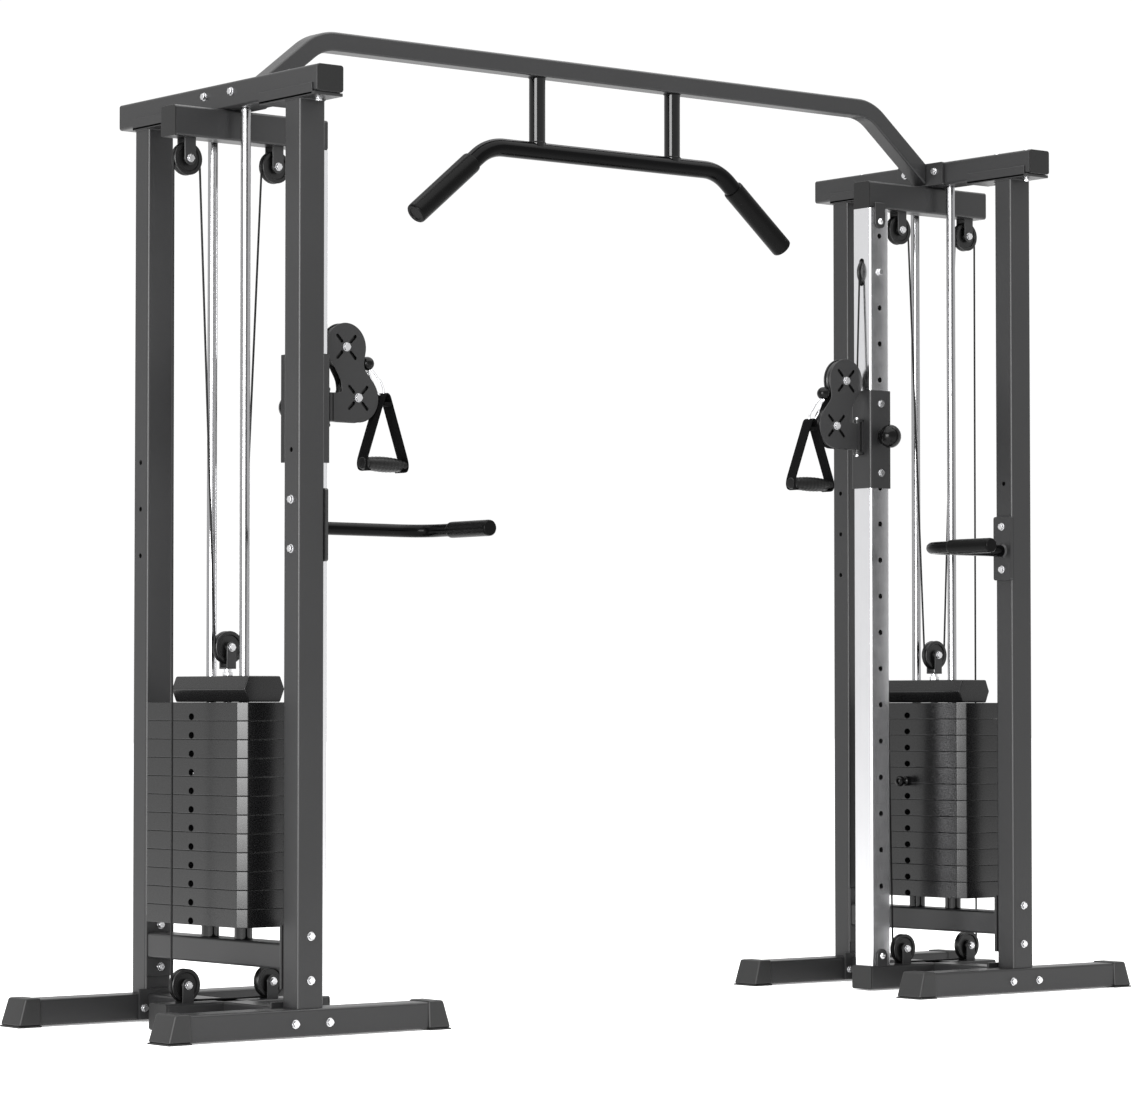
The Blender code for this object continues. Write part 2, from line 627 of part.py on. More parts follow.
def stack_head(side, prefix, origin):
    """Top block of the stack with its selector stem, stud and pulley bracket."""
    wide = 0.055
    slim = 0.043
    middle = (HEAD_LOW + HEAD_HIGH) / 2
    section = [(-slim, HEAD_LOW), (slim, HEAD_LOW), (wide, middle), (slim, HEAD_HIGH), (-slim, HEAD_HIGH)]
    section.append((-wide, middle))
    outline = [(side * STACK_U + a, z) for a, z in section]
    body = prism(outline, "Y", PLANE_Y - 0.149, PLANE_Y + 0.149)
    centre = (side * STACK_U, PLANE_Y, 0)
    parts = [rod("Z", centre, STACK_LOW + 0.003, HEAD_LOW + 0.01, 0.0095, 8)]
    parts.append(rod("Z", centre, HEAD_HIGH - 0.005, 0.816, 0.009))
    parts.append(box(span(side, STACK_U, 0.0125), (PLANE_Y - 0.0165, PLANE_Y + 0.0165), (0.814, 0.819)))
    parts += strap_plates(side, STACK_PULLEY, 0.816, 0.0125)
    fuse(body, parts)
    tools = []
    for sign in (-1, 1):
        tools.append(rod("Z", (side * STACK_U, PLANE_Y + sign * ROD_Y, 0), 0.72, 0.82, ROD_R + 0.0012, 14))
    for index in range(1, PLATE_COUNT + 1):
        tools.append(rod("X", (side * STACK_U, PLANE_Y, selector_z(index)), -0.02, 0.02, 0.0066, 4))
    cut(body, tools)
    finish(body, prefix + "stack_head", PAINT, origin)


def selector_pin(side, prefix):
    """Round pin with a ball knob on the inner side of the stack."""
    z = selector_z(LIFTED[side])
    origin = (side * (STACK_U - PLATE_HALF_U), PLANE_Y, z)
    back = side
    profile = [(0, -0.040), (0.008, -0.038), (0.0135, -0.031), (0.0135, -0.024), (0.008, -0.017)]
    profile += [(0.0125, -0.013), (0.0125, -0.0006), (0.0043, -0.0006), (0.0043, 0.188), (0, 0.190)]
    profile = [(radius, back * height) for radius, height in profile]
    finish(lathe(profile, "X", origin, 10, False), prefix + "selector_pin", BLACK, origin)


def tangent(one, two):
    """Direction of the straight run between two wheels, each (centre, radius, turn)."""
    gap = (two[0][0] - one[0][0], two[0][1] - one[0][1])
    offset = two[1] * two[2] - one[1] * one[2]
    length = math.hypot(*gap)
    return math.degrees(math.atan2(gap[1], gap[0]) - math.asin(offset / length))


def cable_path():
    """Cable centre line from the ball stop round every pulley to the carriage anchor."""
    wheels = [(BALL, 0, 1), (BLOCK_UPPER, BLOCK_RUN, 1), (COLUMN_PULLEY, COLUMN_RUN, -1)]
    wheels += [(TOP_INNER, SMALL_RUN, -1), (STACK_PULLEY, SMALL_RUN, 1), (TOP_OUTER, SMALL_RUN, -1)]
    wheels += [(BASE_OUTER, SMALL_RUN, -1), (BASE_INNER, SMALL_RUN, -1), (ANCHOR, 0, 1)]
    runs = [tangent(a, b) for a, b in zip(wheels, wheels[1:])]
    points = [BALL]
    for wheel, arriving, leaving in zip(wheels[1:-1], runs, runs[1:]):
        centre, radius, turn = wheel
        sweep_angle = (turn * (leaving - arriving)) % 360
        start = arriving - turn * 90
        steps = max(2, math.ceil(sweep_angle / 18))
        points += arc(centre, radius, start, start + turn * sweep_angle, steps)
    points.append(ANCHOR)
    return points


def cable(side, prefix):
    """The whole steel cable, from the handle's ball stop to the carriage."""
    path = cable_path()
    first = Vector(path[1]) - Vector(path[0])
    start = Vector(path[0]) + first.normalized() * (BALL_R + 0.001)
    path[0] = (start.x, start.y)
    points = [(side * u, PLANE_Y, z) for u, z in path]
    finish(sweep(points, CABLE_R, 6), prefix + "cable", CORE)


def handle(side, prefix):
    """Ball stop, snap link, webbing loop and contoured grip, as one hanging piece."""
    reach = 0.070
    strap_out = [(0, APEX_Z), (0.007, APEX_Z - 0.004), (reach + 0.001, 1.316), (reach + 0.007, 1.302)]
    strap_out += [(reach + 0.008, 1.292), (reach + 0.003, 1.283), (reach - 0.004, 1.280)]
    strap_in = [(reach - 0.004, 1.284), (reach + 0.001, 1.286), (reach + 0.0040, 1.293)]
    strap_in += [(reach + 0.003, 1.301), (reach - 0.003, 1.316), (0.004, APEX_Z - 0.012)]
    right = strap_out[1:] + strap_in
    left = [(-a, z) for a, z in reversed(right)]
    outline = [(side * APEX_U + a, z) for a, z in right + left]
    body = prism(outline, "Y", PLANE_Y - STRAP_HALF_Y, PLANE_Y + STRAP_HALF_Y)
    profile = [(0, -0.076), (0.0125, -0.076), (0.0135, -0.050), (0.0165, -0.030), (0.0195, 0)]
    profile += [(0.0165, 0.030), (0.0135, 0.050), (0.0125, 0.076), (0, 0.076)]
    grip = lathe(profile, "X", (side * APEX_U, PLANE_Y, GRIP_Z), 12, False)
    pivot = Matrix.Translation((side * APEX_U, PLANE_Y, 0))
    turn = pivot @ Matrix.Rotation(math.radians(HANDLE_TURN[side]), 4, "Z") @ pivot.inverted()
    body.data.transform(turn)
    grip.data.transform(turn)
    outline = [(0, -BALL_R), (0.011, -0.013), (BALL_R, -0.005)]
    outline += [(BALL_R, 0.005), (0.011, 0.013), (0, BALL_R)]
    ball = lathe(outline, "Z", (side * BALL[0], PLANE_Y, BALL[1]), 10, False)
    link_path = [(side * (BALL[0] - 0.006), PLANE_Y, BALL[1] - 0.008)]
    link_path.append((side * (APEX_U + 0.014), PLANE_Y, BALL[1] - 0.024))
    link_path.append((side * (APEX_U + 0.004), PLANE_Y, APEX_Z + 0.020))
    link_path.append((side * APEX_U, PLANE_Y, APEX_Z - 0.007))
    link = sweep(link_path, 0.0042, 8)
    fuse(body, [grip, link, ball])
    finish(body, prefix + "handle", CLOTH, (side * BALL[0], PLANE_Y, BALL[1]))


def cross_tube():
    """Raised cross tube bolted to the inner faces of both top beams."""
    face = TOWER_U - TUBE_WIDE / 2 - GAP
    flange = face - 0.008
    centre = (CROSS_BEND_U, CROSS_HIGH - CROSS_BEND_R)
    inside = CROSS_BEND_R - (CROSS_HIGH - CROSS_LOW)
    outer = arc(centre, CROSS_BEND_R, 90, 90 - CROSS_SLOPE, 5)
    inner = arc(centre, inside, 90 - CROSS_SLOPE, 90, 5)
    fall = math.tan(math.radians(CROSS_SLOPE))
    ends = []
    for u, z in (outer[-1], inner[0]):
        ends.append((flange + 0.001, z - fall * (flange + 0.001 - u)))
    right = outer + ends + inner
    left = [(-a, b) for a, b in reversed(right)]
    y = (PLANE_Y - CROSS_HALF_Y, PLANE_Y + CROSS_HALF_Y)
    body = prism(right + left, "Y", *y)
    flanges = []
    for side in (-1, 1):
        flange_y = (PLANE_Y - 0.085, PLANE_Y + 0.085)
        flanges.append(box(between(side, flange, face), flange_y, (BEAM_LOW + 0.001, BEAM_HIGH)))
    fuse(body, flanges)
    hollow = box((-0.83, 0.83), (y[0] + WALL, y[1] - WALL), (CROSS_LOW + WALL, CROSS_HIGH - WALL))
    vent = rod("Z", (0.05, PLANE_Y, 0), CROSS_LOW - 0.01, CROSS_LOW + 0.01, 0.004, 8)
    cut(body, [hollow, vent])
    finish(body, "crossover_tube", PAINT)


def pull_up_bar():
    """Round bar with bent-down gripped ends on two round hangers."""
    level = 2.0755
    end = (0.578, 1.897)
    corner = (0.362, level)
    slope = math.degrees(math.atan2(corner[1] - end[1], end[0] - corner[0]))
    bend = 0.12
    turn = arc((corner[0] - bend * math.tan(math.radians(slope / 2)), level - bend), bend, 90, 90 - slope, 5)
    right = turn + [end]
    path = [(-u, PLANE_Y, z) for u, z in reversed(right)] + [(u, PLANE_Y, z) for u, z in right]
    body = sweep(path, 0.0220, 12)
    parts = []
    for side in (-1, 1):
        tip = Vector((side * end[0], PLANE_Y, end[1]))
        lean = (Vector((side * turn[-1][0], PLANE_Y, turn[-1][1])) - tip).normalized()
        parts.append(sweep([tip - lean * 0.004, tip + lean * 0.213], 0.0265, 14))
        parts.append(rod("Z", (side * HANGER_U, PLANE_Y, 0), level, CROSS_LOW - GAP, 0.020, 14))
    fuse(body, parts)
    finish(body, "pull_up_bar", PAINT)


def tower(side):
    """Everything on one side of the machine."""
    prefix = "left_" if side < 0 else "right_"
    post(side, -POST_Y, prefix + "front_post")
    post(side, POST_Y, prefix + "rear_post")
    foot(side, -FOOT_Y, prefix + "front_foot")
    foot(side, FOOT_Y, prefix + "rear_foot")
    base_frame(side, prefix)
    lower_crossbeam(side, prefix)
    top_beam(side, prefix)
    pulley_beam(side, prefix)
    guide_rod(side, -1, prefix + "guide_rod_front")
    guide_rod(side, 1, prefix + "guide_rod_rear")
    column(side, prefix)
    dip_handle(side, prefix)
    carriage(side, prefix)
    pull_pin(side, prefix)
    swivel_block(side, prefix)
    pulley(side, BLOCK_UPPER, BIG_OUT, BLOCK_RUN, prefix + "block_pulley_upper")
    pulley(side, BLOCK_LOWER, BIG_OUT, BLOCK_RUN, prefix + "block_pulley_lower")
    pulley(side, TOP_INNER, SMALL_OUT, SMALL_RUN, prefix + "top_pulley_inner")
    pulley(side, TOP_OUTER, SMALL_OUT, SMALL_RUN, prefix + "top_pulley_outer")
    pulley(side, COLUMN_PULLEY, COLUMN_OUT, COLUMN_RUN, prefix + "column_pulley")
    pulley(side, BASE_INNER, SMALL_OUT, SMALL_RUN, prefix + "base_pulley_inner")
    pulley(side, BASE_OUTER, SMALL_OUT, SMALL_RUN, prefix + "base_pulley_outer")
    pulley(side, STACK_PULLEY, SMALL_OUT, SMALL_RUN, prefix + "stack_pulley")
    origin = (side * STACK_U, PLANE_Y, HEAD_LOW)
    stack_head(side, prefix, origin)
    plates(side, 1, LIFTED[side], prefix + "lifted_plates", origin)
    plates(side, LIFTED[side] + 1, PLATE_COUNT, prefix + "resting_plates", (0, 0, 0))
    selector_pin(side, prefix)
    cable(side, prefix)
    handle(side, prefix)


clear_scene()
for tower_side in (-1, 1):
    tower(tower_side)
cross_tube()
pull_up_bar()
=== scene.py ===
"""Picture model of a cable crossover machine: two weight-stack towers under a raised cross tube."""
import math

import bmesh
import bpy
from mathutils import Matrix, Vector


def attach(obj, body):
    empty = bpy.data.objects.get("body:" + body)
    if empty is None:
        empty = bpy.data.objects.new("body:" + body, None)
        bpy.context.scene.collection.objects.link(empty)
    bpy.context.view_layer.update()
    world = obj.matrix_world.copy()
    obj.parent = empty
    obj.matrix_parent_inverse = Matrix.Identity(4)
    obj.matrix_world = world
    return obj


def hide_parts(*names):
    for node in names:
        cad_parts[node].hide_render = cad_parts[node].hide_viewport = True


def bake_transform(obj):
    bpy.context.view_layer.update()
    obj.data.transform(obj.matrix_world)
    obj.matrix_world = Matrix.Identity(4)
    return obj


# Metres. U is the distance from the centre plane, y runs from front (-) to back (+).
MID = 0.077  # y of the middle of the towers
PLANE = 0.066  # y of the cable, the column and the stack
TOWER = 1.107  # U of the posts
POST_Y = 0.3085  # posts from MID
FOOT_Y = 0.310  # feet from MID
BASE_TOP = 0.063
BEAM_LOW = 2.0895
BEAM_HIGH = 2.150
PULLEY_BEAM = (2.0192, 2.0892)  # bottom and top of the beam under the top beam
TUBE_WIDE = 0.035  # frame tubes: half sizes and corner radii
TUBE_FLAT = 0.030
TUBE_ROUND = 0.006
BEAM_ROUND = 0.0065
TUBE_Z = 0.033  # middle of the tubes on the floor
FOOT_HALF = 0.0365
CAP_SOLE = 0.0035  # rubber end caps of the feet
CAP_TOP = 0.066
CAP_LOW = 0.0435
CAP_HIGH = 0.040
BRACKET_IN = 0.0130  # pulley bracket cheeks, inner and outer face from PLANE
BRACKET_OUT = 0.0165
COLUMN = 0.888  # U of the column
COLUMN_HALF = 0.0325
COLUMN_TOP = 2.0189
SLOT_R = 0.0095  # ends of the cable slots
HOLE_FIRST = 0.267  # lowest height hole of the column
HOLE_PITCH = 0.0933
SLEEVE_HALF = 0.0365
SWIVEL = 0.838  # U of the hinge of the pulley block
STACK = 1.110  # U of the weight stack
STACK_LOW = 0.2369
PITCH = 0.04184  # thickness of one plate
PLATES = 12
ROD_Y = 0.067  # guide rods from PLANE
ROD_R = 0.0115
BUMPER_LOW = 0.2048
BUMPER_HIGH = 0.2366
DIP_R = 0.0148
PLATE_HALF = 0.098
CABLE_R = 0.0025
AXLE_R = 0.005
# Pulleys: outer radius, radius of the cable's centre line, centre (U, z).
SMALL_OUT = 0.0375
SMALL_RUN = 0.0352
COLUMN_OUT = 0.0425
COLUMN_RUN = 0.040
BIG_OUT = 0.0525
BLOCK_RUN = 0.049
TOP_INNER = (0.9855, 1.9715)
TOP_OUTER = (1.2264, 1.9715)
BASE_INNER = (0.9938, 0.1017)
BASE_OUTER = (1.2240, 0.1017)
COLUMN_PULLEY = (COLUMN, HOLE_FIRST + 17 * HOLE_PITCH)
BLOCK_UPPER = (0.789, 1.567)
BLOCK_LOWER = (0.755, 1.4495)
STACK_PULLEY = (STACK, 0.8635)
ANCHOR = (0.932, 1.2920)  # end of the cable on the carriage
BALL = (0.7205, 1.532)  # ball stop of the handle
BALL_R = 0.0165
PIN_OUT = {-1: 1, 1: -1}  # the spring pin faces the back on the left, the front on the right
PIN_REACH = 0.061  # knob tip from the sleeve
PIN_Z = 1.425
APEX = 0.6745  # U of the top of the hand strap
LIFTED = {-1: 4, 1: 5}  # plates above the selector pin
# Raised cross tube: start of the bend, bend radii and slope in degrees.
CROSS_BEND_U = 0.826
CROSS_TOP = 2.300
CROSS_OUTSIDE = 0.1425
CROSS_INSIDE = 0.0975
CROSS_SLOPE = 38.5
# Studio.
WORLD_STRENGTH = 1.03
FLOOR_GLOW = 0.28
OVERHEAD_POWER = 330
LEFT_POWER = 1500
LENS = 128.33
CAMERA_PLACE = (-6.2468, -7.6829 + MID, 0.7294)
CAMERA_TURN = (92.1886, 0, -38.598)


# ---------------------------------------------------------------- materials

def shader(name, color, rough, metal=0.0, spec=0.5):
    """A node material with its noise coordinates in metres; returns it with its handles."""
    mat = bpy.data.materials.new(name)
    mat.use_nodes = True
    tree = mat.node_tree
    bsdf = tree.nodes["Principled BSDF"]
    bsdf.inputs["Base Color"].default_value = (*color, 1)
    bsdf.inputs["Roughness"].default_value = rough
    bsdf.inputs["Metallic"].default_value = metal
    bsdf.inputs["Specular IOR Level"].default_value = spec
    coords = tree.nodes.new("ShaderNodeTexCoord")
    return mat, tree, bsdf, coords.outputs["Object"]


def noise(tree, coords, scale, detail=3.0, rough=0.55):
    node = tree.nodes.new("ShaderNodeTexNoise")
    node.inputs["Scale"].default_value = scale
    node.inputs["Detail"].default_value = detail
    node.inputs["Roughness"].default_value = rough
    tree.links.new(coords, node.inputs["Vector"])
    return node.outputs["Fac"]


def remap(tree, value, low, high):
    node = tree.nodes.new("ShaderNodeMapRange")
    node.inputs["To Min"].default_value = low
    node.inputs["To Max"].default_value = high
    tree.links.new(value, node.inputs["Value"])
    return node.outputs["Result"]


def tint(tree, bsdf, value, dark, light):
    node = tree.nodes.new("ShaderNodeMix")
    node.data_type = "RGBA"
    node.inputs[6].default_value = (*dark, 1)
    node.inputs[7].default_value = (*light, 1)
    tree.links.new(value, node.inputs[0])
    tree.links.new(node.outputs[2], bsdf.inputs["Base Color"])


def bump(tree, bsdf, height, strength, distance):
    node = tree.nodes.new("ShaderNodeBump")
    node.inputs["Strength"].default_value = strength
    node.inputs["Distance"].default_value = distance
    tree.links.new(height, node.inputs["Height"])
    tree.links.new(node.outputs["Normal"], bsdf.inputs["Normal"])


def textured(name, dark, light, rough, grain, depth, metal=0.0, spec=0.5, spread=0.06):
    """Broad tone changes, a roughness that varies a little and a fine grain."""
    mat, tree, bsdf, coords = shader(name, light, rough, metal, spec)
    tint(tree, bsdf, remap(tree, noise(tree, coords, 3.5), -0.2, 1.2), dark, light)
    fine = noise(tree, coords, grain, 2.0)
    tree.links.new(remap(tree, fine, rough - spread, rough + spread), bsdf.inputs["Roughness"])
    bump(tree, bsdf, fine, 0.35, depth)
    return mat


def webbing_material():
    mat, tree, bsdf, coords = shader("webbing", (0.003, 0.003, 0.003), 0.8, spec=0.04)
    wave = tree.nodes.new("ShaderNodeTexWave")
    wave.inputs["Scale"].default_value = 180.0
    wave.inputs["Distortion"].default_value = 0.6
    wave.bands_direction = "Z"
    tree.links.new(coords, wave.inputs["Vector"])
    cross = tree.nodes.new("ShaderNodeTexWave")
    cross.inputs["Scale"].default_value = 260.0
    cross.bands_direction = "Y"
    tree.links.new(coords, cross.inputs["Vector"])
    both = tree.nodes.new("ShaderNodeMath")
    both.operation = "MULTIPLY"
    tree.links.new(wave.outputs["Fac"], both.inputs[0])
    tree.links.new(cross.outputs["Fac"], both.inputs[1])
    tint(tree, bsdf, both.outputs[0], (0.0010, 0.0010, 0.0010), (0.0045, 0.0045, 0.0048))
    bump(tree, bsdf, both.outputs[0], 0.6, 0.0004)
    return mat


def chrome_material(name, tone, low, high):
    """Plated steel: a mirror whose polish varies slightly."""
    mat, tree, bsdf, coords = shader(name, (tone, tone, tone * 1.02), low, 1.0)
    soft = noise(tree, coords, 30.0, 4.0)
    tree.links.new(remap(tree, soft, low, high), bsdf.inputs["Roughness"])
    darker = tone * 0.93
    tint(tree, bsdf, noise(tree, coords, 6.0), (darker, darker, darker * 1.02), (tone, tone, tone * 1.02))
    bump(tree, bsdf, noise(tree, coords, 120.0), 0.10, 0.000004)
    return mat


PAINT = textured("paint", (0.0095, 0.0095, 0.0098), (0.0130, 0.0130, 0.0134), 0.38, 900.0, 0.00005, spec=0.36)
GLOSS_PAINT = textured("gloss_paint", (0.0006, 0.0006, 0.0007), (0.0014, 0.0014, 0.0015), 0.17, 500.0,
                       0.00003, spec=0.06, spread=0.03)
HANGER_PAINT = textured("hanger_paint", (0.0006, 0.0006, 0.0007), (0.0014, 0.0014, 0.0015), 0.08, 500.0,
                        0.00001,
                        spec=0.30, spread=0.02)
CHROME = chrome_material("chrome", 0.68, 0.16, 0.24)
POLISHED = chrome_material("polished", 0.34, 0.13, 0.17)
PLATE = textured("plate", (0.0010, 0.0010, 0.0011), (0.0022, 0.0022, 0.0024), 0.27, 400.0, 0.00005,
                 spec=0.40, spread=0.04)
PLASTIC = textured("plastic", (0.0012, 0.0012, 0.0012), (0.0026, 0.0026, 0.0027), 0.34, 500.0, 0.00004,
                   spec=0.35)
GLOSSY = textured("glossy", (0.0008, 0.0008, 0.0008), (0.0018, 0.0018, 0.0018), 0.18, 120.0, 0.00002,
                  spec=0.14, spread=0.03)
RUBBER = textured("rubber", (0.0050, 0.0050, 0.0050), (0.0090, 0.0090, 0.0090), 0.50, 650.0, 0.00012,
                  spec=0.40)
FOAM = textured("foam", (0.0008, 0.0008, 0.0008), (0.0020, 0.0020, 0.0020), 0.30, 420.0, 0.00008, spec=0.07)
FOAM_GRIP = textured("grip_foam", (0.0010, 0.0010, 0.0010), (0.0024, 0.0024, 0.0024), 0.40, 420.0, 0.00006,
                     spec=0.18)
# Painted shade: a near-black, barely reflecting sheet inside the column, so its holes and slots look dark
# inside.
SHADE_SHEET = textured("shade_sheet", (0.0006, 0.0006, 0.0006), (0.0012, 0.0012, 0.0012), 0.60, 300.0, 0.00004, spec=0.03)
STEEL = textured("zinc", (0.50, 0.50, 0.51), (0.66, 0.66, 0.67), 0.22, 260.0, 0.00004, metal=1.0, spread=0.04)
CORD = textured("cable_jacket", (0.0020, 0.0020, 0.0021), (0.0045, 0.0045, 0.0047), 0.36, 500.0, 0.00006,
                spec=0.12)
WEBBING = webbing_material()


# ---------------------------------------------------------------- shapes

def shaped(verts, faces, mat, bevel=0.0, segments=2):
    """(mesh, material) of a closed form, its sharp edges rounded."""
    mesh = bpy.data.meshes.new("shape")
    mesh.from_pydata([tuple(v) for v in verts], [], faces)
    bm = bmesh.new()
    bm.from_mesh(mesh)
    bmesh.ops.recalc_face_normals(bm, faces=bm.faces)
    if bevel:
        sharp = [e for e in bm.edges if e.calc_face_angle(0) > 0.62]
        bmesh.ops.bevel(bm, geom=sharp, offset=bevel, segments=segments, profile=0.5,
                        affect="EDGES", clamp_overlap=True)
    bm.to_mesh(mesh)
    bm.free()
    return mesh, mat


def box(x, y, z, mat, bevel=0.0015, segments=2):
    verts = [(x[i], y[j], z[k]) for i in (0, 1) for j in (0, 1) for k in (0, 1)]
    faces = [(0, 1, 3, 2), (4, 6, 7, 5), (0, 4, 5, 1), (2, 3, 7, 6), (0, 2, 6, 4), (1, 5, 7, 3)]
    return shaped(verts, faces, mat, bevel, segments)


def point(axis, a, b, along):
    if axis == "X":
        return (along, a, b)
    if axis == "Y":
        return (a, along, b)
    return (a, b, along)


def prism(outline, axis, low, high, mat, bevel=0.0, segments=2):
    count = len(outline)
    verts = [point(axis, a, b, low) for a, b in outline] + [point(axis, a, b, high) for a, b in outline]
    faces = [tuple(range(count)), tuple(range(count, 2 * count))]
    faces += [(i, (i + 1) % count, count + (i + 1) % count, count + i) for i in range(count)]
    return shaped(verts, faces, mat, bevel, segments)


def arc(centre, radius, start, end, steps):
    points = []
    for i in range(steps + 1):
        angle = math.radians(start + (end - start) * i / steps)
        points.append((centre[0] + radius * math.cos(angle), centre[1] + radius * math.sin(angle)))
    return points


def rounded(centre, half, radius, steps=5):
    """Outline of a rounded rectangle."""
    points = []
    for k, (sa, sb) in enumerate(((1, 1), (-1, 1), (-1, -1), (1, -1))):
        corner = (centre[0] + sa * (half[0] - radius), centre[1] + sb * (half[1] - radius))
        points += arc(corner, radius, 90 * k, 90 * k + 90, steps)
    return points


def hollow(centre, half, wall, radius, axis, low, high, mat):
    """A rounded square tube with open ends."""
    outer = rounded(centre, half, radius)
    inner = rounded(centre, (half[0] - wall, half[1] - wall), max(radius - wall, 0.0008))
    count = len(outer)
    verts = []
    for loop in (outer, inner):
        for along in (low, high):
            verts += [point(axis, a, b, along) for a, b in loop]
    faces = []
    for i in range(count):
        j = (i + 1) % count
        faces.append((i, j, count + j, count + i))
        faces.append((2 * count + i, 2 * count + j, 3 * count + j, 3 * count + i))
        faces.append((i, j, 2 * count + j, 2 * count + i))
        faces.append((count + i, count + j, 3 * count + j, 3 * count + i))
    return shaped(verts, faces, mat)


def bar(centre, half, radius, axis, low, high, mat):
    """A rounded square tube with closed ends."""
    return prism(rounded(centre, half, radius), axis, low, high, mat, 0.0008, 1)


def lathe(profile, axis, centre, mat, steps=32, closed=False):
    rows = []
    verts = []
    for radius, height in profile:
        if radius == 0:
            rows.append([len(verts)] * steps)
            verts.append(turned(axis, centre, 0, 0, height))
            continue
        rows.append(list(range(len(verts), len(verts) + steps)))
        verts += [turned(axis, centre, radius, 2 * math.pi * k / steps, height) for k in range(steps)]
    faces = []
    pairs = list(zip(rows, rows[1:])) + ([(rows[-1], rows[0])] if closed else [])
    for one, two in pairs:
        for k in range(steps):
            m = (k + 1) % steps
            face = list(dict.fromkeys((one[k], one[m], two[m], two[k])))
            faces.append(tuple(face))
    return shaped(verts, faces, mat)


def turned(axis, centre, radius, angle, height):
    a = radius * math.cos(angle)
    b = radius * math.sin(angle)
    if axis == "X":
        return (centre[0] + height, centre[1] + a, centre[2] + b)
    if axis == "Y":
        return (centre[0] + a, centre[1] + height, centre[2] + b)
    return (centre[0] + a, centre[1] + b, centre[2] + height)


def rod(axis, centre, low, high, radius, mat, steps=24, chamfer=0.0006):
    profile = [(0, low), (radius - chamfer, low), (radius, low + chamfer)]
    profile += [(radius, high - chamfer), (radius - chamfer, high), (0, high)]
    return lathe(profile, axis, centre, mat, steps)


def sweep(path, section, mat, up=None, closed=False):
    """A cross-section (list of (a, b)) carried along a path."""
    points = [Vector(p) for p in path]
    count = len(points)
    sides = len(section)
    verts = []
    side = Vector(up) if up else None
    for i, place in enumerate(points):
        before = place - points[i - 1] if i or closed else None
        after = points[(i + 1) % count] - place if i + 1 < count or closed else None
        tangent = (before or after).normalized()
        if before and after:
            tangent = (before.normalized() + after.normalized()).normalized()
        if side is None:
            side = tangent.orthogonal()
        side = (side - tangent * side.dot(tangent)).normalized()
        other = tangent.cross(side)
        verts += [place + a * side + b * other for a, b in section]
        if up:
            side = Vector(up)
    faces = []
    if not closed:
        faces = [tuple(range(sides)), tuple(range((count - 1) * sides, count * sides))]
    for i in range(count if closed else count - 1):
        j = (i + 1) % count
        for k in range(sides):
            m = (k + 1) % sides
            faces.append((i * sides + k, i * sides + m, j * sides + m, j * sides + k))
    return shaped(verts, faces, mat)


def circle(radius, sides):
    return arc((0, 0), radius, 0, 360, sides)[:-1]


def smooth_path(points, radius, steps=6):
    """A polyline in space with its corners rounded."""
    path = [Vector(points[0])]
    for a, b, c in zip(points, points[1:], points[2:]):
        a, b, c = Vector(a), Vector(b), Vector(c)
        one = (a - b).normalized()
        two = (c - b).normalized()
        reach = min(radius, (a - b).length / 2, (c - b).length / 2)
        for i in range(steps + 1):
            t = i / steps
            path.append((1 - t) ** 2 * (b + one * reach) + 2 * t * (1 - t) * b + t * t * (b + two * reach))
    path.append(Vector(points[-1]))
    return path


def moved(shape, matrix):
    shape[0].transform(matrix)
    return shape


def cut(shape, tools):
    """The shape with the tools removed from it."""
    bm = bmesh.new()
    for mesh, _ in tools:
        bm.from_mesh(mesh)
    cutter_mesh = bpy.data.meshes.new("cutter")
    bm.to_mesh(cutter_mesh)
    bm.free()
    target = bpy.data.objects.new("target", shape[0])
    cutter = bpy.data.objects.new("cutter", cutter_mesh)
    for obj in (target, cutter):
        bpy.context.scene.collection.objects.link(obj)
    step = target.modifiers.new("cut", "BOOLEAN")
    step.operation = "DIFFERENCE"
    step.solver = "EXACT"
    step.object = cutter
    graph = bpy.context.evaluated_depsgraph_get()
    mesh = bpy.data.meshes.new_from_object(target.evaluated_get(graph))
    for obj in (target, cutter):
        bpy.data.objects.remove(obj, do_unlink=True)
    return mesh, shape[1]


def build(name, shapes, body, nodes=(), angle=38):
    """One object of several shapes, riding on a body and standing for CAD nodes."""
    bm = bmesh.new()
    mats = []
    for mesh, mat in shapes:
        if mat not in mats:
            mats.append(mat)
        start = len(bm.faces)
        bm.from_mesh(mesh)
        bm.faces.ensure_lookup_table()
        for face in bm.faces[start:]:
            face.material_index = mats.index(mat)
            face.smooth = True
        bpy.data.meshes.remove(mesh)
    mesh = bpy.data.meshes.new(name)
    bm.to_mesh(mesh)
    bm.free()
    for mat in mats:
        mesh.materials.append(mat)
    mesh.set_sharp_from_angle(angle=math.radians(angle))
    obj = bpy.data.objects.new(name, mesh)
    bpy.context.scene.collection.objects.link(obj)
    even = obj.modifiers.new("even_shading", "WEIGHTED_NORMAL")
    even.keep_sharp = True
    even.weight = 60
    if body:
        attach(obj, body)
    if nodes:
        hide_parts(*nodes)
    return obj


def span(side, u, half):
    return tuple(sorted((side * (u - half), side * (u + half))))


def between(side, low, high):
    return tuple(sorted((side * low, side * high)))


def hexagon(axis, place, low, high, across, mat):
    """A hexagonal nut or bolt head between two heights along its axis."""
    along = "XYZ".index(axis)
    base = place[along]
    offsets = [value for i, value in enumerate(place) if i != along]
    radius = across / math.sqrt(3)
    outline = [(offsets[0] + a, offsets[1] + b) for a, b in arc((0, 0), radius, 0, 360, 6)[:-1]]
    return prism(outline, axis, base + min(low, high), base + max(low, high), mat, 0.0007, 1)


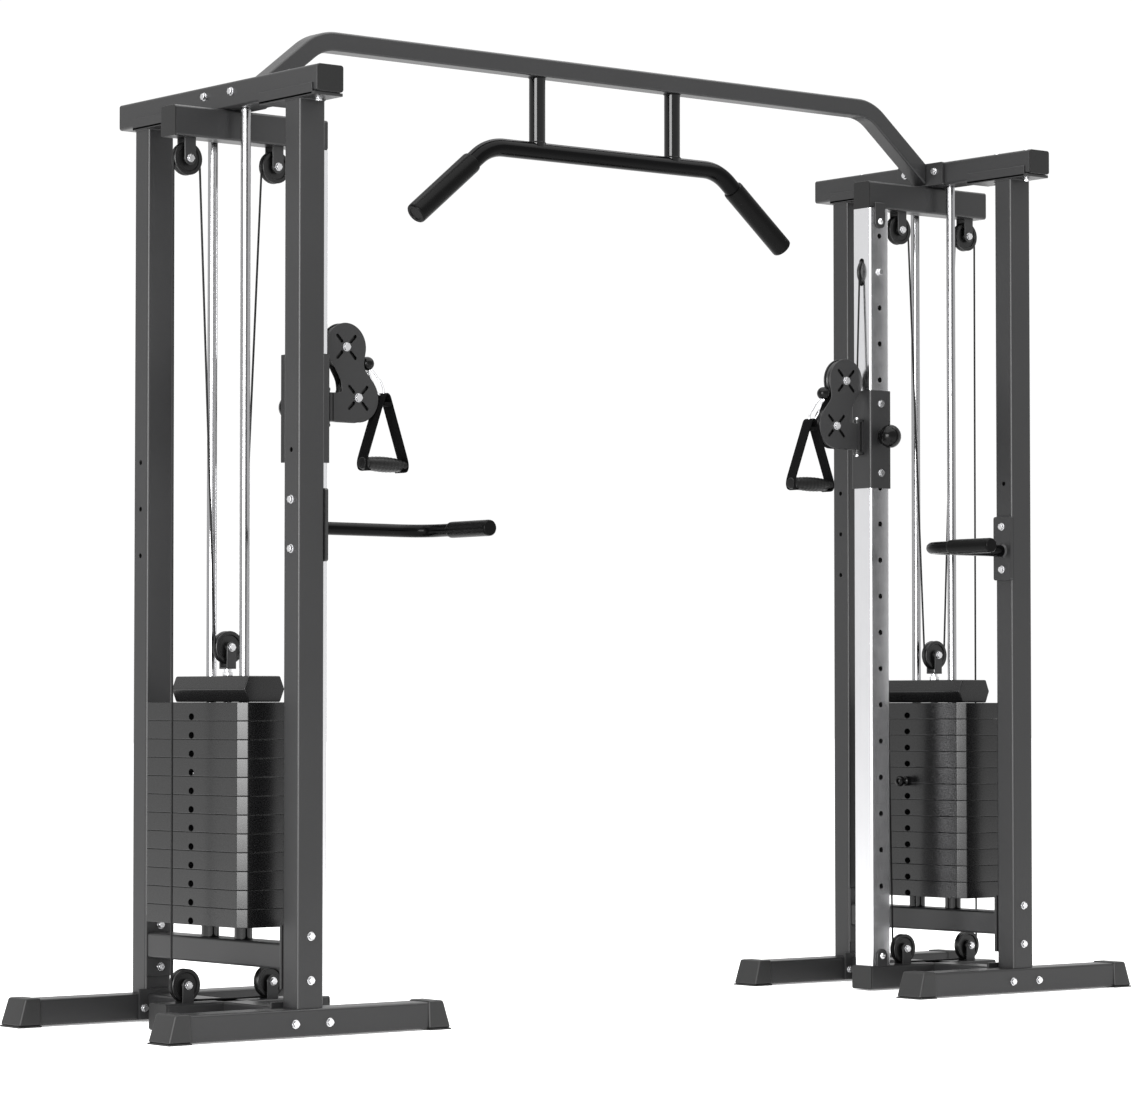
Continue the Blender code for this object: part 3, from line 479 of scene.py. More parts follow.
def bolt(axis, place, out, across=0.0145, height=0.0060, washer=0.0098):
    """A hex head on a washer, standing out from a face in the direction of out."""
    flat = lathe([(0, 0), (washer, 0), (washer, out * 0.0015), (0, out * 0.0018)], axis, place, STEEL, 24)
    return [flat, hexagon(axis, place, out * 0.0015, out * (height + 0.0015), across, STEEL)]


def button(axis, place, out, radius, height):
    """A rounded button head."""
    profile = [(0, 0), (radius, 0), (radius, out * 0.0012), (radius * 0.82, out * height * 0.72)]
    profile += [(radius * 0.45, out * height), (0, out * height)]
    return lathe(profile, axis, place, STEEL, 24)


# ---------------------------------------------------------------- tower frame

def make_post(side, where, prefix):
    name = prefix + ("front_post" if where < 0 else "rear_post")
    y = MID + where * POST_Y
    tube = hollow((side * TOWER, y), (TUBE_WIDE, TUBE_FLAT), 0.003, BEAM_ROUND, "Z",
                  BASE_TOP + 0.0003, 2.0822, PAINT)
    drills = []
    for z in (1.081, 1.1900, 1.299):
        drills.append(rod("X", (side * TOWER, y, z), -0.05, 0.05, 0.0058, PAINT, 20, 0))
    shapes = [cut(tube, drills)]
    reach = 0.092 if where < 0 else 0.036
    plate_y = sorted((y + where * reach, y - where * 0.127))
    lip_y = sorted((y + where * min(reach, 0.081), y - where * 0.127))
    shapes.append(box(span(side, TOWER, 0.0385), plate_y, (2.0815, 2.0892), PAINT, 0.0014))
    for sign in (-1, 1):
        u = TOWER + sign * 0.037
        shapes.append(box(span(side, u, 0.0015), lip_y, (2.083, 2.1095), PAINT, 0.0008, 1))
    for offset in (-0.053, 0.053) if where < 0 else (-0.053,):
        shapes += bolt("Z", (side * TOWER, y + offset, 2.0815), -1)
        shapes += bolt("Z", (side * TOWER, y + offset, BEAM_HIGH), 1, height=0.005)
    seam = rounded((side * TOWER, y), (TUBE_WIDE + 0.0005, TUBE_FLAT + 0.0005), BEAM_ROUND)
    shapes.append(sweep([(a, b, 2.0808) for a, b in seam], circle(0.0018, 6), PAINT, closed=True))
    build(name + "_form", shapes, "frame", [name])


def cap_ring(end, inner, y, half):
    """Corners of a rubber end cap at one height."""
    return [(end, y - half), (inner, y - half), (inner, y + half), (end, y + half)]


def make_foot(side, where, prefix):
    name = prefix + ("front_foot" if where < 0 else "rear_foot")
    y = MID + where * FOOT_Y
    half = (FOOT_HALF, TUBE_FLAT)
    shapes = [bar((y, TUBE_Z), half, TUBE_ROUND, "X", *between(side, 0.752, 1.464), PAINT)]
    for end, inner, slope in ((1.488, 1.427, 0.020), (0.728, 0.789, -0.020)):
        low = cap_ring(side * end, side * inner, y, CAP_LOW)
        high = cap_ring(side * (end - slope), side * inner, y, CAP_HIGH)
        for z0, z1, grow in ((0, CAP_SOLE, 0.0), (CAP_SOLE, CAP_TOP, -0.0008)):
            verts = []
            for z in (z0, z1):
                for (xa, ya), (xb, yb) in zip(low, high):
                    share = z / CAP_TOP
                    px = xa + (xb - xa) * share
                    py = ya + (yb - ya) * share
                    verts.append((px, py + (grow if py > y else -grow), z))
            faces = [(0, 1, 2, 3), (4, 5, 6, 7)]
            faces += [(i, (i + 1) % 4, 4 + (i + 1) % 4, 4 + i) for i in range(4)]
            bevel, steps = (0.0012, 2) if z0 == 0 else (0.005, 3)
            shapes.append(shaped(verts, faces, RUBBER, bevel, steps))
    for offset in (-0.046, 0.046):
        place = (side * (TOWER + offset), y + where * FOOT_HALF, 0.031)
        shapes += bolt("Y", place, where)
    build(name + "_form", shapes, "frame", [name])


def bracket(side, centre, root, half=0.015):
    """Two straps, a bright axle bolt and its nut."""
    u, z = centre
    ends = (0, 180) if root < z else (180, 360)
    flip = 1 if root < z else -1
    shapes = []
    for low, high in ((-BRACKET_OUT, -BRACKET_IN), (BRACKET_IN, BRACKET_OUT)):
        outline = [(side * (u + a), b) for a, b in arc((0, z), half, *ends, 12)]
        outline += [(side * (u - flip * half), root), (side * (u + flip * half), root)]
        shapes.append(prism(outline, "Y", PLANE + low, PLANE + high, PAINT, 0.0008, 1))
    shapes.append(rod("Y", (side * u, PLANE, z), -BRACKET_OUT, BRACKET_OUT, AXLE_R, STEEL))
    for sign in (-1, 1):
        place = (side * u, PLANE + sign * BRACKET_OUT, z)
        shapes += bolt("Y", place, sign, height=0.005, across=0.015, washer=0.0095)
    return shapes


def tab(side, sign, tip, root):
    """Rounded tab that holds one end of the column, with its bolt."""
    ends = (0, 180) if root < tip else (180, 360)
    flip = 1 if root < tip else -1
    outline = [(side * (COLUMN + a), b) for a, b in arc((0, tip), 0.018, *ends, 12)]
    outline += [(side * (COLUMN - flip * 0.018), root), (side * (COLUMN + flip * 0.018), root)]
    near = PLANE + sign * 0.0328
    far = PLANE + sign * 0.0365
    shapes = [prism(outline, "Y", *sorted((near, far)), PAINT, 0.0008, 1)]
    shapes.append(button("Y", (side * COLUMN, far, tip), sign, 0.0085, 0.0055))
    return shapes


def make_base(side, prefix):
    place, half = (side * TOWER, TUBE_Z), (TUBE_WIDE, TUBE_FLAT)
    shapes = [bar(place, half, TUBE_ROUND, "Y", MID - 0.2732, MID + 0.2732, PAINT)]
    place, half = (PLANE, TUBE_Z), (FOOT_HALF, TUBE_FLAT)
    shapes.append(bar(place, half, TUBE_ROUND, "X", *between(side, 0.852, 1.292), PAINT))
    for u in (0.8505, 1.2935):
        outline = rounded(place, half, TUBE_ROUND)
        shapes.append(prism(outline, "X", *span(side, u, 0.0022), PLASTIC, 0.0012, 2))
    for sign in (-1, 1):
        flange_y = sorted((MID + sign * 0.2654, MID + sign * 0.2732))
        shapes.append(box(span(side, TOWER, 0.060), flange_y, (0.005, 0.075), PAINT, 0.0015))
        for offset in (-0.046, 0.046):
            shapes += bolt("Y", (side * (TOWER + offset), MID + sign * 0.2654, 0.031), -sign)
        shapes += tab(side, sign, 0.088, 0.061)
    shapes += bracket(side, BASE_INNER, 0.061)
    shapes += bracket(side, BASE_OUTER, 0.061)
    build(prefix + "base_form", shapes, "frame", [prefix + "base_frame"])


def make_crossbeam(side, prefix):
    place, half = (side * TOWER, 0.17575), (TUBE_WIDE, 0.02875)
    shapes = [bar(place, half, TUBE_ROUND, "Y", MID - 0.272, MID + 0.272, PAINT)]
    for sign in (-1, 1):
        flange_y = sorted((MID + sign * 0.2702, MID + sign * 0.2782))
        shapes.append(box(span(side, TOWER, 0.037), flange_y, (0.103, 0.246), PAINT, 0.0015))
        for z in (0.1245, 0.222):
            shapes += bolt("Y", (side * TOWER, MID + sign * 0.3385, z), sign)
            shapes += bolt("Y", (side * TOWER, MID + sign * 0.2702, z), -sign)
    build(prefix + "crossbeam_form", shapes, "frame", [prefix + "lower_crossbeam"])


def make_top(side, prefix):
    place = (side * TOWER, (BEAM_LOW + BEAM_HIGH) / 2)
    half = (TUBE_WIDE, (BEAM_HIGH - BEAM_LOW) / 2)
    shapes = [bar(place, half, BEAM_ROUND, "Y", MID - 0.4045, MID + 0.4045, PAINT)]
    for sign in (-1, 1):
        low, high = sorted((MID + sign * 0.403, MID + sign * 0.408))
        outline = rounded(place, half, BEAM_ROUND)
        shapes.append(prism(outline, "Y", low, high, PLASTIC, 0.0018, 2))
    for offset in (-0.055, 0.055):
        shapes += bolt("X", (side * (TOWER + TUBE_WIDE), PLANE + offset, 2.127), side)
    build(prefix + "top_beam_form", shapes, "frame", [prefix + "top_beam"])
    low, high = PULLEY_BEAM
    place, half = (PLANE, (low + high) / 2), (TUBE_FLAT, TUBE_WIDE)
    shapes = [bar(place, half, BEAM_ROUND, "X", *between(side, 0.858, 1.274), PAINT)]
    for u in (0.8575, 1.2745):
        outline = rounded(place, half, BEAM_ROUND)
        shapes.append(prism(outline, "X", *span(side, u, 0.0024), PLASTIC, 0.0014, 2))
    for sign in (-1, 1):
        shapes += tab(side, sign, 1.984, low + 0.014)
        rail_y = sorted((PLANE + sign * 0.028, PLANE + sign * 0.0360))
        shapes.append(box(span(side, COLUMN, 0.018), rail_y, (low + 0.0003, low + 0.014), PAINT, 0.001))
    shapes += bracket(side, TOP_INNER, low + 0.002)
    shapes += bracket(side, TOP_OUTER, low + 0.002)
    build(prefix + "pulley_beam_form", shapes, "frame", [prefix + "pulley_beam"])


def make_rods(side, prefix):
    for sign, name in ((-1, prefix + "guide_rod_front"), (1, prefix + "guide_rod_rear")):
        centre = (side * STACK, PLANE + sign * ROD_Y, 0)
        shapes = [rod("Z", centre, BUMPER_LOW, BEAM_LOW - 0.0003, ROD_R, POLISHED, 32)]
        bumper = [(0.0116, BUMPER_LOW), (0.0198, BUMPER_LOW), (0.0206, BUMPER_LOW + 0.0008)]
        bumper += [(0.0206, BUMPER_HIGH - 0.0010), (0.0196, BUMPER_HIGH), (0.0116, BUMPER_HIGH)]
        shapes.append(lathe(bumper, "Z", centre, HANGER_PAINT, 32, True))
        build(name + "_form", shapes, "frame", [name])


def make_column(side, prefix):
    tube = hollow((side * COLUMN, PLANE), (COLUMN_HALF, COLUMN_HALF), 0.0025, 0.005, "Z",
                  BASE_TOP + 0.0003, COLUMN_TOP, CHROME)
    depth = sorted((0.02 * PIN_OUT[side], 0.05 * PIN_OUT[side]))
    tools = []
    for k in list(range(17)) + [18]:
        centre = (side * COLUMN, PLANE, HOLE_FIRST + HOLE_PITCH * k)
        tools.append(rod("Y", centre, *depth, 0.0068, CHROME, 24, 0))
    mid = COLUMN_PULLEY[1]
    shade_sheet_slots = []
    for sign, low, high in ((-1, mid - 0.036, mid + 0.036), (1, mid - 0.036, mid + 0.140)):
        outline = arc((PLANE, high - SLOT_R), SLOT_R, 0, 180, 10)
        outline += arc((PLANE, low + SLOT_R), SLOT_R, 180, 360, 10)
        across = between(side, COLUMN + sign * 0.02, COLUMN + sign * 0.05)
        tools.append(prism(outline, "X", *across, CHROME))
        shade_sheet_slots.append(prism(outline, "X", *across, SHADE_SHEET))
    # Painted shade: a thin near-black sheet just inside the column wall, slotted where the pulley shows,
    # darkens the holes.
    shade_sheet = hollow((side * COLUMN, PLANE), (0.0299, 0.0299), 0.0006, 0.0026, "Z",
                   BASE_TOP + 0.0006, COLUMN_TOP - 0.0003, SHADE_SHEET)
    shapes = [cut(tube, tools), cut(shade_sheet, shade_sheet_slots)]
    shapes.append(rod("Y", (side * COLUMN, PLANE, mid), -COLUMN_HALF, COLUMN_HALF, AXLE_R, STEEL))
    for sign in (-1, 1):
        shapes += bolt("Y", (side * COLUMN, PLANE + sign * COLUMN_HALF, mid), sign)
    build(prefix + "column_form", shapes, "frame", [prefix + "column"])


def make_dip(side, prefix):
    face = TOWER - 0.0353
    y = MID - 0.310
    outline = rounded((y, 1.133), (0.0315, 0.0815), 0.006)
    shapes = [prism(outline, "X", *between(side, face - 0.008, face), PAINT, 0.0012, 2)]
    for z in (1.079, 1.1885):
        shapes += bolt("X", (side * (face - 0.008), y, z), -side)
        shapes += bolt("X", (side * (TOWER + TUBE_WIDE), y, z), side)
    level = 1.1265
    tip = (side * 0.779, MID - 0.562, level)
    corners = [(side * (face - 0.006), y, level), (tip[0], y, level), (tip[0], tip[1] + 0.004, level)]
    path = smooth_path(corners, 0.078, 12)
    shapes.append(sweep(path, circle(DIP_R, 24), GLOSS_PAINT))
    bead = [(DIP_R, 0), (0.0183, 0), (DIP_R, -side * 0.0042)]
    shapes.append(lathe(bead, "X", (side * (face - 0.008), y, level), PAINT, 24))
    build(prefix + "dip_bar_form", shapes, "frame", [prefix + "dip_handle"])
    start = y - 0.107
    end = tip[1]
    profile = [(0.0149, start), (0.0170, start), (0.0182, start - 0.002), (0.0185, start - 0.008)]
    profile += [(0.0185, end + 0.007), (0.0178, end + 0.002), (0.0162, end + 0.0004), (0, end)]
    grip = build(prefix + "dip_grip", [lathe(profile, "Y", (tip[0], 0, tip[2]), FOAM, 32)], "frame")


# ---------------------------------------------------------------- moving pieces

def wheel(side, centre, outer, run, name, body):
    """A moulded pulley with a rounded groove, a recessed web and a hub."""
    floor = run - CABLE_R - 0.0003
    hub = 0.0105 if outer < 0.045 else 0.013
    web = outer - 0.010
    half = 0.009
    profile = [(0.0052, -half), (hub, -half), (hub + 0.0006, -half + 0.0012), (hub + 0.001, -0.0060),
               (web, -0.0060)]
    profile += [(web + 0.0012, -half + 0.001), (web + 0.002, -half), (outer - 0.0012, -half),
                (outer, -half + 0.0012)]
    profile += [(outer - 0.0004, -0.0062)]
    for k in range(7):
        angle = math.radians(180 + 30 * k)
        profile.append((floor + 0.0030 + 0.0030 * math.sin(angle) if k in (1, 2, 3, 4, 5) else floor + 0.0030,
                        0.0031 * math.cos(angle)))
    profile += [(outer - 0.0004, 0.0062), (outer, half - 0.0012), (outer - 0.0012, half), (web + 0.002, half)]
    profile += [(web + 0.0012, half - 0.001), (web, 0.0060), (hub + 0.001, 0.0060),
                (hub + 0.0006, half - 0.0012)]
    profile += [(hub, half), (0.0052, half)]
    shape = lathe(profile, "Y", (side * centre[0], PLANE, centre[1]), PLASTIC, 48, True)
    sleeve = lathe([(0.0051, -0.0094), (0.0080, -0.0094), (0.0080, 0.0094), (0.0051, 0.0094)], "Y",
                   (side * centre[0], PLANE, centre[1]), STEEL, 24, True)
    build(name + "_form", [shape, sleeve], body, [name])


def make_carriage(side, prefix):
    body = prefix + "carriage_body"
    low, high = 1.2925, 1.545
    shapes = [hollow((side * COLUMN, PLANE), (SLEEVE_HALF, SLEEVE_HALF), 0.0035, 0.006, "Z",
                     low, high, PAINT)]
    face = COLUMN - SLEEVE_HALF
    for z0, z1 in ((1.379, 1.386), (1.463, 1.470)):
        outline = arc((side * SWIVEL, PLANE), 0.010, 90 if side > 0 else -90, 270 if side > 0 else 90, 12)
        outline += [(side * (face + 0.001), PLANE - side * 0.010)]
        outline += [(side * (face + 0.001), PLANE + side * 0.010)]
        shapes.append(prism(outline, "Z", z0, z1, PAINT, 0.0008, 1))
    shapes.append(box(between(side, face - 0.0035, face + 0.001), (PLANE - 0.010, PLANE + 0.010),
                      (1.379, 1.470), PAINT, 0.001))
    hinge = (side * SWIVEL, PLANE, 0)
    shapes.append(rod("Z", hinge, 1.3735, 1.4755, 0.005, STEEL, 24, 0.0012))
    for z in (1.332, 1.511):
        for sign in (-1, 1):
            place = (side * COLUMN, PLANE + sign * SLEEVE_HALF, z)
            shapes += bolt("Y", place, sign, height=0.005, across=0.015, washer=0.010)
    back = COLUMN + SLEEVE_HALF
    pad_y = (PLANE - 0.010, PLANE + 0.0345)
    shapes.append(box(between(side, back - 0.001, 0.942), pad_y, (1.2925, 1.543), PAINT, 0.0014))
    ferrule = [(0.0026, 1.277), (0.0040, 1.277), (0.0048, 1.279), (0.0048, 1.2925), (0.0026, 1.2925)]
    shapes.append(lathe(ferrule, "Z", (side * ANCHOR[0], PLANE, 0), STEEL, 20, True))
    build(prefix + "carriage_form", shapes, body, [prefix + "carriage"])


def make_plunger(side, prefix):
    out = PIN_OUT[side]
    seat = SLEEVE_HALF
    tip = seat + PIN_REACH
    centre = (side * COLUMN, PLANE, PIN_Z)
    steel = [(0, 0.0328), (0.0064, 0.0328), (0.0064, seat + 0.001), (0.0115, seat + 0.001),
             (0.0115, seat + 0.006)]
    steel += [(0, seat + 0.006)]
    knob = [(0, seat + 0.005), (0.0185, seat + 0.005), (0.0200, seat + 0.0065), (0.0195, tip - 0.054)]
    for t in range(1, 7):
        knob.append((0.0195 + 0.0108 * math.sin(math.radians(15 * t)) ** 2, tip - 0.054 + 0.0045 * t))
    for t in range(1, 10):
        turn = math.radians(10 * t)
        knob.append((0.0303 * math.cos(turn) if t < 9 else 0, tip - 0.027 + 0.027 * math.sin(turn)))
    shapes = []
    for profile, mat, steps in ((steel, STEEL, 32), (knob, GLOSSY, 40)):
        shapes.append(lathe([(radius, out * reach) for radius, reach in profile], "Y", centre, mat, steps))
    build(prefix + "plunger_form", shapes, prefix + "plunger", [prefix + "pull_pin"])


def cheek(side, low, high):
    upper = arc(BLOCK_UPPER, 0.0565, -52, 188, 40)
    lower = arc(BLOCK_LOWER, 0.058, 138, 270, 24)
    waist = smooth_path([(upper[-1][0], 0, upper[-1][1]), (0.740, 0, 1.5210),
                         (lower[0][0], 0, lower[0][1])], 0.014, 6)
    lug = [(0.824, BLOCK_LOWER[1] - 0.058), (0.826, BLOCK_LOWER[1] - 0.056), (0.826, 1.458), (0.825, 1.459)]
    throat = smooth_path([(0.812, 0, 1.459), (0.801, 0, 1.461), (0.803, 0, 1.487),
                          (upper[0][0], 0, upper[0][1])], 0.012, 5)
    outline = upper + [(p.x, p.z) for p in waist[1:-1]] + lower + lug + [(p.x, p.z) for p in throat[:-1]]
    plate = prism([(side * u, z) for u, z in outline], "Y", PLANE + low, PLANE + high, PAINT, 0.0007, 1)
    slots = []
    for u, z in (BLOCK_UPPER, BLOCK_LOWER):
        for k in range(4):
            turn = math.radians(45 + 90 * k)
            near, far, half = 0.018, 0.036, 0.0042
            ends = []
            for reach, start in ((far, -90), (near, 90)):
                for a in range(0, 181, 30):
                    angle = math.radians(start + a) + turn
                    ends.append((side * (u + reach * math.cos(turn) + half * math.cos(angle)),
                                 z + reach * math.sin(turn) + half * math.sin(angle)))
            slots.append(prism(ends, "Y", PLANE + low - 0.01, PLANE + high + 0.01, PAINT))
    return cut(plate, slots)


def make_block(side, prefix):
    shapes = [cheek(side, 0.0097, 0.0125), cheek(side, -0.0125, -0.0097)]
    shapes.append(box(between(side, 0.8145, 0.834), (PLANE - 0.0105, PLANE + 0.0105), (1.3915, 1.459),
                      PAINT, 0.001))
    barrel = [(0.0053, 1.3863), (0.0088, 1.3863), (0.0088, 1.4627), (0.0053, 1.4627)]
    shapes.append(lathe(barrel, "Z", (side * SWIVEL, PLANE, 0), PAINT, 32, True))
    for u, z in (BLOCK_UPPER, BLOCK_LOWER):
        shapes.append(rod("Y", (side * u, PLANE, z), -0.0125, 0.0125, 0.005, STEEL))
        for sign in (-1, 1):
            shapes += bolt("Y", (side * u, PLANE + sign * 0.0125, z), sign, height=0.005, across=0.017,
                           washer=0.0105)
    build(prefix + "block_form", shapes, prefix + "block", [prefix + "swivel_block"])


def angles(count):
    return [2 * math.pi * k / count for k in range(count)]


def selector_height(index):
    return STACK_LOW + (PLATES - index) * PITCH + 0.0054


def one_plate(side, index):
    """One cast plate with rounded edges, rod and stem holes and a hole for the pin."""
    low = STACK_LOW + (PLATES - index) * PITCH
    high = low + PITCH - 0.0004
    a, b, c = PLATE_HALF, 0.2015, 0.018
    ring = [(a, b - c), (a - c, b), (c - a, b), (-a, b - c), (-a, c - b), (c - a, -b), (a - c, -b),
            (a, c - b)]
    outline = [(side * STACK + x, PLANE + y) for x, y in ring]
    plate = prism(outline, "Z", low, high, PLATE, 0.0016, 2)
    plate = cut(plate, [rod("Z", (side * STACK, PLANE, 0), low - 0.01, high + 0.01, 0.0115, PLATE, 20, 0)])
    for sign in (-1, 1):
        centre = (side * STACK, PLANE + sign * ROD_Y, 0)
        plate = cut(plate, [rod("Z", centre, low - 0.01, high + 0.01, 0.0130, PLATE, 20, 0)])
    hole = [(PLANE + 0.0106 * math.cos(t), low + 0.0088 + 0.0078 * math.sin(t)) for t in angles(24)]
    return cut(plate, [prism(hole, "X", side * STACK - 0.12, side * STACK + 0.12, PLATE)])


def make_stack(side, prefix):
    body = prefix + "stack"
    lifted = LIFTED[side]
    upper = [one_plate(side, i) for i in range(1, lifted + 1)]
    lower = [one_plate(side, i) for i in range(lifted + 1, PLATES + 1)]
    build(prefix + "lifted_form", upper, body, [prefix + "lifted_plates"])
    build(prefix + "resting_form", lower, "frame", [prefix + "resting_plates"])
    low = STACK_LOW + PLATES * PITCH + 0.0003
    high = 0.798
    middle = (low + high) / 2
    section = [(-0.043, low), (0.043, low), (0.055, middle), (0.043, high), (-0.043, high), (-0.055, middle)]
    head = prism([(side * STACK + a, z) for a, z in section], "Y", PLANE - 0.149, PLANE + 0.149, PLATE,
                 0.003, 3)
    for sign in (-1, 1):
        centre = (side * STACK, PLANE + sign * ROD_Y, 0)
        head = cut(head, [rod("Z", centre, 0.72, 0.83, 0.0127, PAINT, 24, 0)])
    centre = (side * STACK, PLANE, 0)
    shapes = [head, rod("Z", centre, STACK_LOW + 0.003, low + 0.002, 0.0093, STEEL, 20)]
    shapes.append(rod("Z", centre, high - 0.002, 0.8165, 0.0085, STEEL, 24))
    shapes.append(hexagon("Z", (side * STACK, PLANE, high), 0, 0.009, 0.022, STEEL))
    shapes.append(box(span(side, STACK, 0.0125), (PLANE - 0.0165, PLANE + 0.0165), (0.8145, 0.8185), PAINT,
                      0.001))
    shapes += bracket(side, STACK_PULLEY, 0.8165, 0.0125)
    build(prefix + "head_form", shapes, body, [prefix + "stack_head"])
    z = selector_height(lifted)
    centre = (side * (STACK - PLATE_HALF), PLANE, z)
    steel = [(0, side * -0.008), (0.0043, side * -0.008), (0.0043, side * 0.187), (0.003, side * 0.190),
             (0, side * 0.190)]
    knob = [(0.0043, -0.0006), (0.0118, -0.0006), (0.0125, -0.0014), (0.0125, -0.0095), (0.0115, -0.0110)]
    knob += [(0.0070, -0.0140), (0.0070, -0.0165)]
    for angle in range(-50, 91, 14):
        turn = math.radians(angle)
        knob.append((0.0135 * math.cos(turn), -0.0265 - 0.0135 * math.sin(turn)))
    knob.append((0, -0.040))
    knob = [(radius, side * height) for radius, height in knob]
    shapes = [lathe(steel, "X", centre, STEEL, 20), lathe(knob, "X", centre, GLOSSY, 32)]
    build(prefix + "selector_form", shapes, prefix + "pin", [prefix + "selector_pin"])


# ---------------------------------------------------------------- cable and handle

def heading(one, two):
    """Direction of the straight run between two wheels, each (centre, radius, turn)."""
    gap = (two[0][0] - one[0][0], two[0][1] - one[0][1])
    offset = two[1] * two[2] - one[1] * one[2]
    return math.degrees(math.atan2(gap[1], gap[0]) - math.asin(offset / math.hypot(*gap)))


def make_cable(side, prefix):
    wheels = [(BALL, 0, 1), (BLOCK_UPPER, BLOCK_RUN, 1), (COLUMN_PULLEY, COLUMN_RUN, -1)]
    wheels += [(TOP_INNER, SMALL_RUN, -1), (STACK_PULLEY, SMALL_RUN, 1), (TOP_OUTER, SMALL_RUN, -1)]
    wheels += [(BASE_OUTER, SMALL_RUN, -1), (BASE_INNER, SMALL_RUN, -1), (ANCHOR, 0, 1)]
    block, carriage, stack = prefix + "block", prefix + "carriage_body", prefix + "stack"
    riders = ["", block, "frame", "frame", stack, "frame", "frame", "frame", carriage]
    spans = [block, (carriage, "frame"), "frame", ("frame", stack), (stack, "frame"), "frame", "frame",
             ("frame", carriage)]
    runs = [heading(a, b) for a, b in zip(wheels, wheels[1:])]
    last = Vector(BALL)
    pieces = []
    for i, run in enumerate(runs):
        centre, radius, turn = wheels[i + 1]
        start = run - turn * 90
        touch = Vector((centre[0] + radius * math.cos(math.radians(start)),
                        centre[1] + radius * math.sin(math.radians(start))))
        pieces.append((spans[i], [last.lerp(touch, t / 24) for t in range(25)]))
        last = touch
        if i + 1 < len(runs):
            angle = (turn * (runs[i + 1] - run)) % 360
            points = arc(centre, radius, start, start + turn * angle, max(4, int(angle / 6)))
            pieces.append((riders[i + 1], [Vector(p) for p in points]))
            last = Vector(points[-1])
    for k, (rider, points) in enumerate(pieces):
        path = [(side * p.x, PLANE, p.y) for p in points]
        shape = sweep(path, circle(CABLE_R, 12), CORD, up=(0, 1, 0))
        name = f"{prefix}cable_run_{k:02d}"
        nodes = [] if k else [prefix + "cable"]
        if isinstance(rider, tuple):
            obj = build(name, [shape], None, nodes)
            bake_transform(obj)
        else:
            build(name, [shape], rider, nodes)


def make_handle(side, prefix):
    body = prefix + "hand_loop"
    x = side * APEX
    reach = 0.070
    pivot = Matrix.Translation((x, PLANE, 0))
    turn = pivot @ Matrix.Rotation(math.radians(14 if side < 0 else 7), 4, "Z") @ pivot.inverted()
    strap = [(reach - 0.008, 0, 1.2815), (reach + 0.002, 0, 1.2835), (reach + 0.0062, 0, 1.294),
             (reach + 0.0045, 0, 1.306), (reach - 0.002, 0, 1.322),
             (0.0085, 0, 1.4590), (0, 0, 1.4645), (-0.0085, 0, 1.4590),
             (-reach + 0.002, 0, 1.322), (-reach - 0.0045, 0, 1.306), (-reach - 0.0062, 0, 1.294),
             (-reach - 0.002, 0, 1.2835), (-reach + 0.008, 0, 1.2815)]
    path = [(x + p.x, PLANE, p.z) for p in smooth_path(strap, 0.006, 4)]
    section = rounded((0, 0), (0.0155, 0.0020), 0.0016, 3)
    shapes = [moved(sweep(path, section, WEBBING, up=(0, 1, 0)), turn)]
    profile = [(0, -0.078), (0.0110, -0.078), (0.0135, -0.0765), (0.0150, -0.072), (0.0140, -0.0655),
               (0.0132, -0.062)]
    count = 9
    for k in range(count * 4 + 1):
        t = -1 + 2 * k / (count * 4)
        swell = 0.0148 + 0.0032 * math.cos(t * math.pi / 2)
        profile.append((swell + (0.0006 if k % 4 == 2 else 0), t * 0.060))
    profile += [(0.0132, 0.062), (0.0140, 0.0655), (0.0150, 0.072), (0.0135, 0.0765), (0.0110, 0.078),
                (0, 0.078)]
    shapes.append(moved(lathe(profile, "X", (x, PLANE, 1.297), FOAM_GRIP, 36), turn))
    shapes.append(moved(box((x - 0.0135, x + 0.0135), (PLANE - 0.0165, PLANE + 0.0165), (1.434, 1.443),
                            WEBBING, 0.001), turn))
    build(prefix + "handle_form", shapes, body, [prefix + "handle"], angle=50)
    top = Vector((side * (BALL[0] - 0.007), PLANE, BALL[1] - 0.014))
    low = Vector((x, PLANE, 1.4575))
    axis = (low - top).normalized()
    across = axis.cross(Vector((0, 1, 0)))
    middle = (top + low) / 2
    half = (low - top).length / 2
    ring = []
    for k in range(40):
        angle = 2 * math.pi * k / 40
        wide = 0.0095 if math.cos(angle) < 0 else 0.0125
        ring.append(middle + axis * half * math.cos(angle) + across * wide * math.sin(angle))
    link = sweep(ring, circle(0.0027, 12), CHROME, up=(0, 1, 0), closed=True)
    gate = sweep([middle + across * -0.0100 - axis * 0.012, middle + across * -0.0112 + axis * 0.012],
                 circle(0.0038, 12), CHROME)
    ball = []
    for k in range(13):
        angle = math.radians(-90 + 15 * k)
        ball.append((BALL_R * math.cos(angle) if 0 < k < 12 else 0, BALL_R * math.sin(angle)))
    centre = (side * BALL[0], PLANE, BALL[1])
    stop = lathe(ball, "Z", centre, GLOSSY, 32)
    loop = Vector(centre) + Vector((side * -0.003, 0, -BALL_R))
    angles = [2 * math.pi * k / 20 for k in range(20)]
    eye = sweep([loop + Vector((0, 0.005 * math.cos(a), 0.006 * math.sin(a))) for a in angles],
                circle(0.0016, 8), CHROME, closed=True)
    build(prefix + "snap_link", [link, gate, stop, eye], body)


# ---------------------------------------------------------------- shared pieces

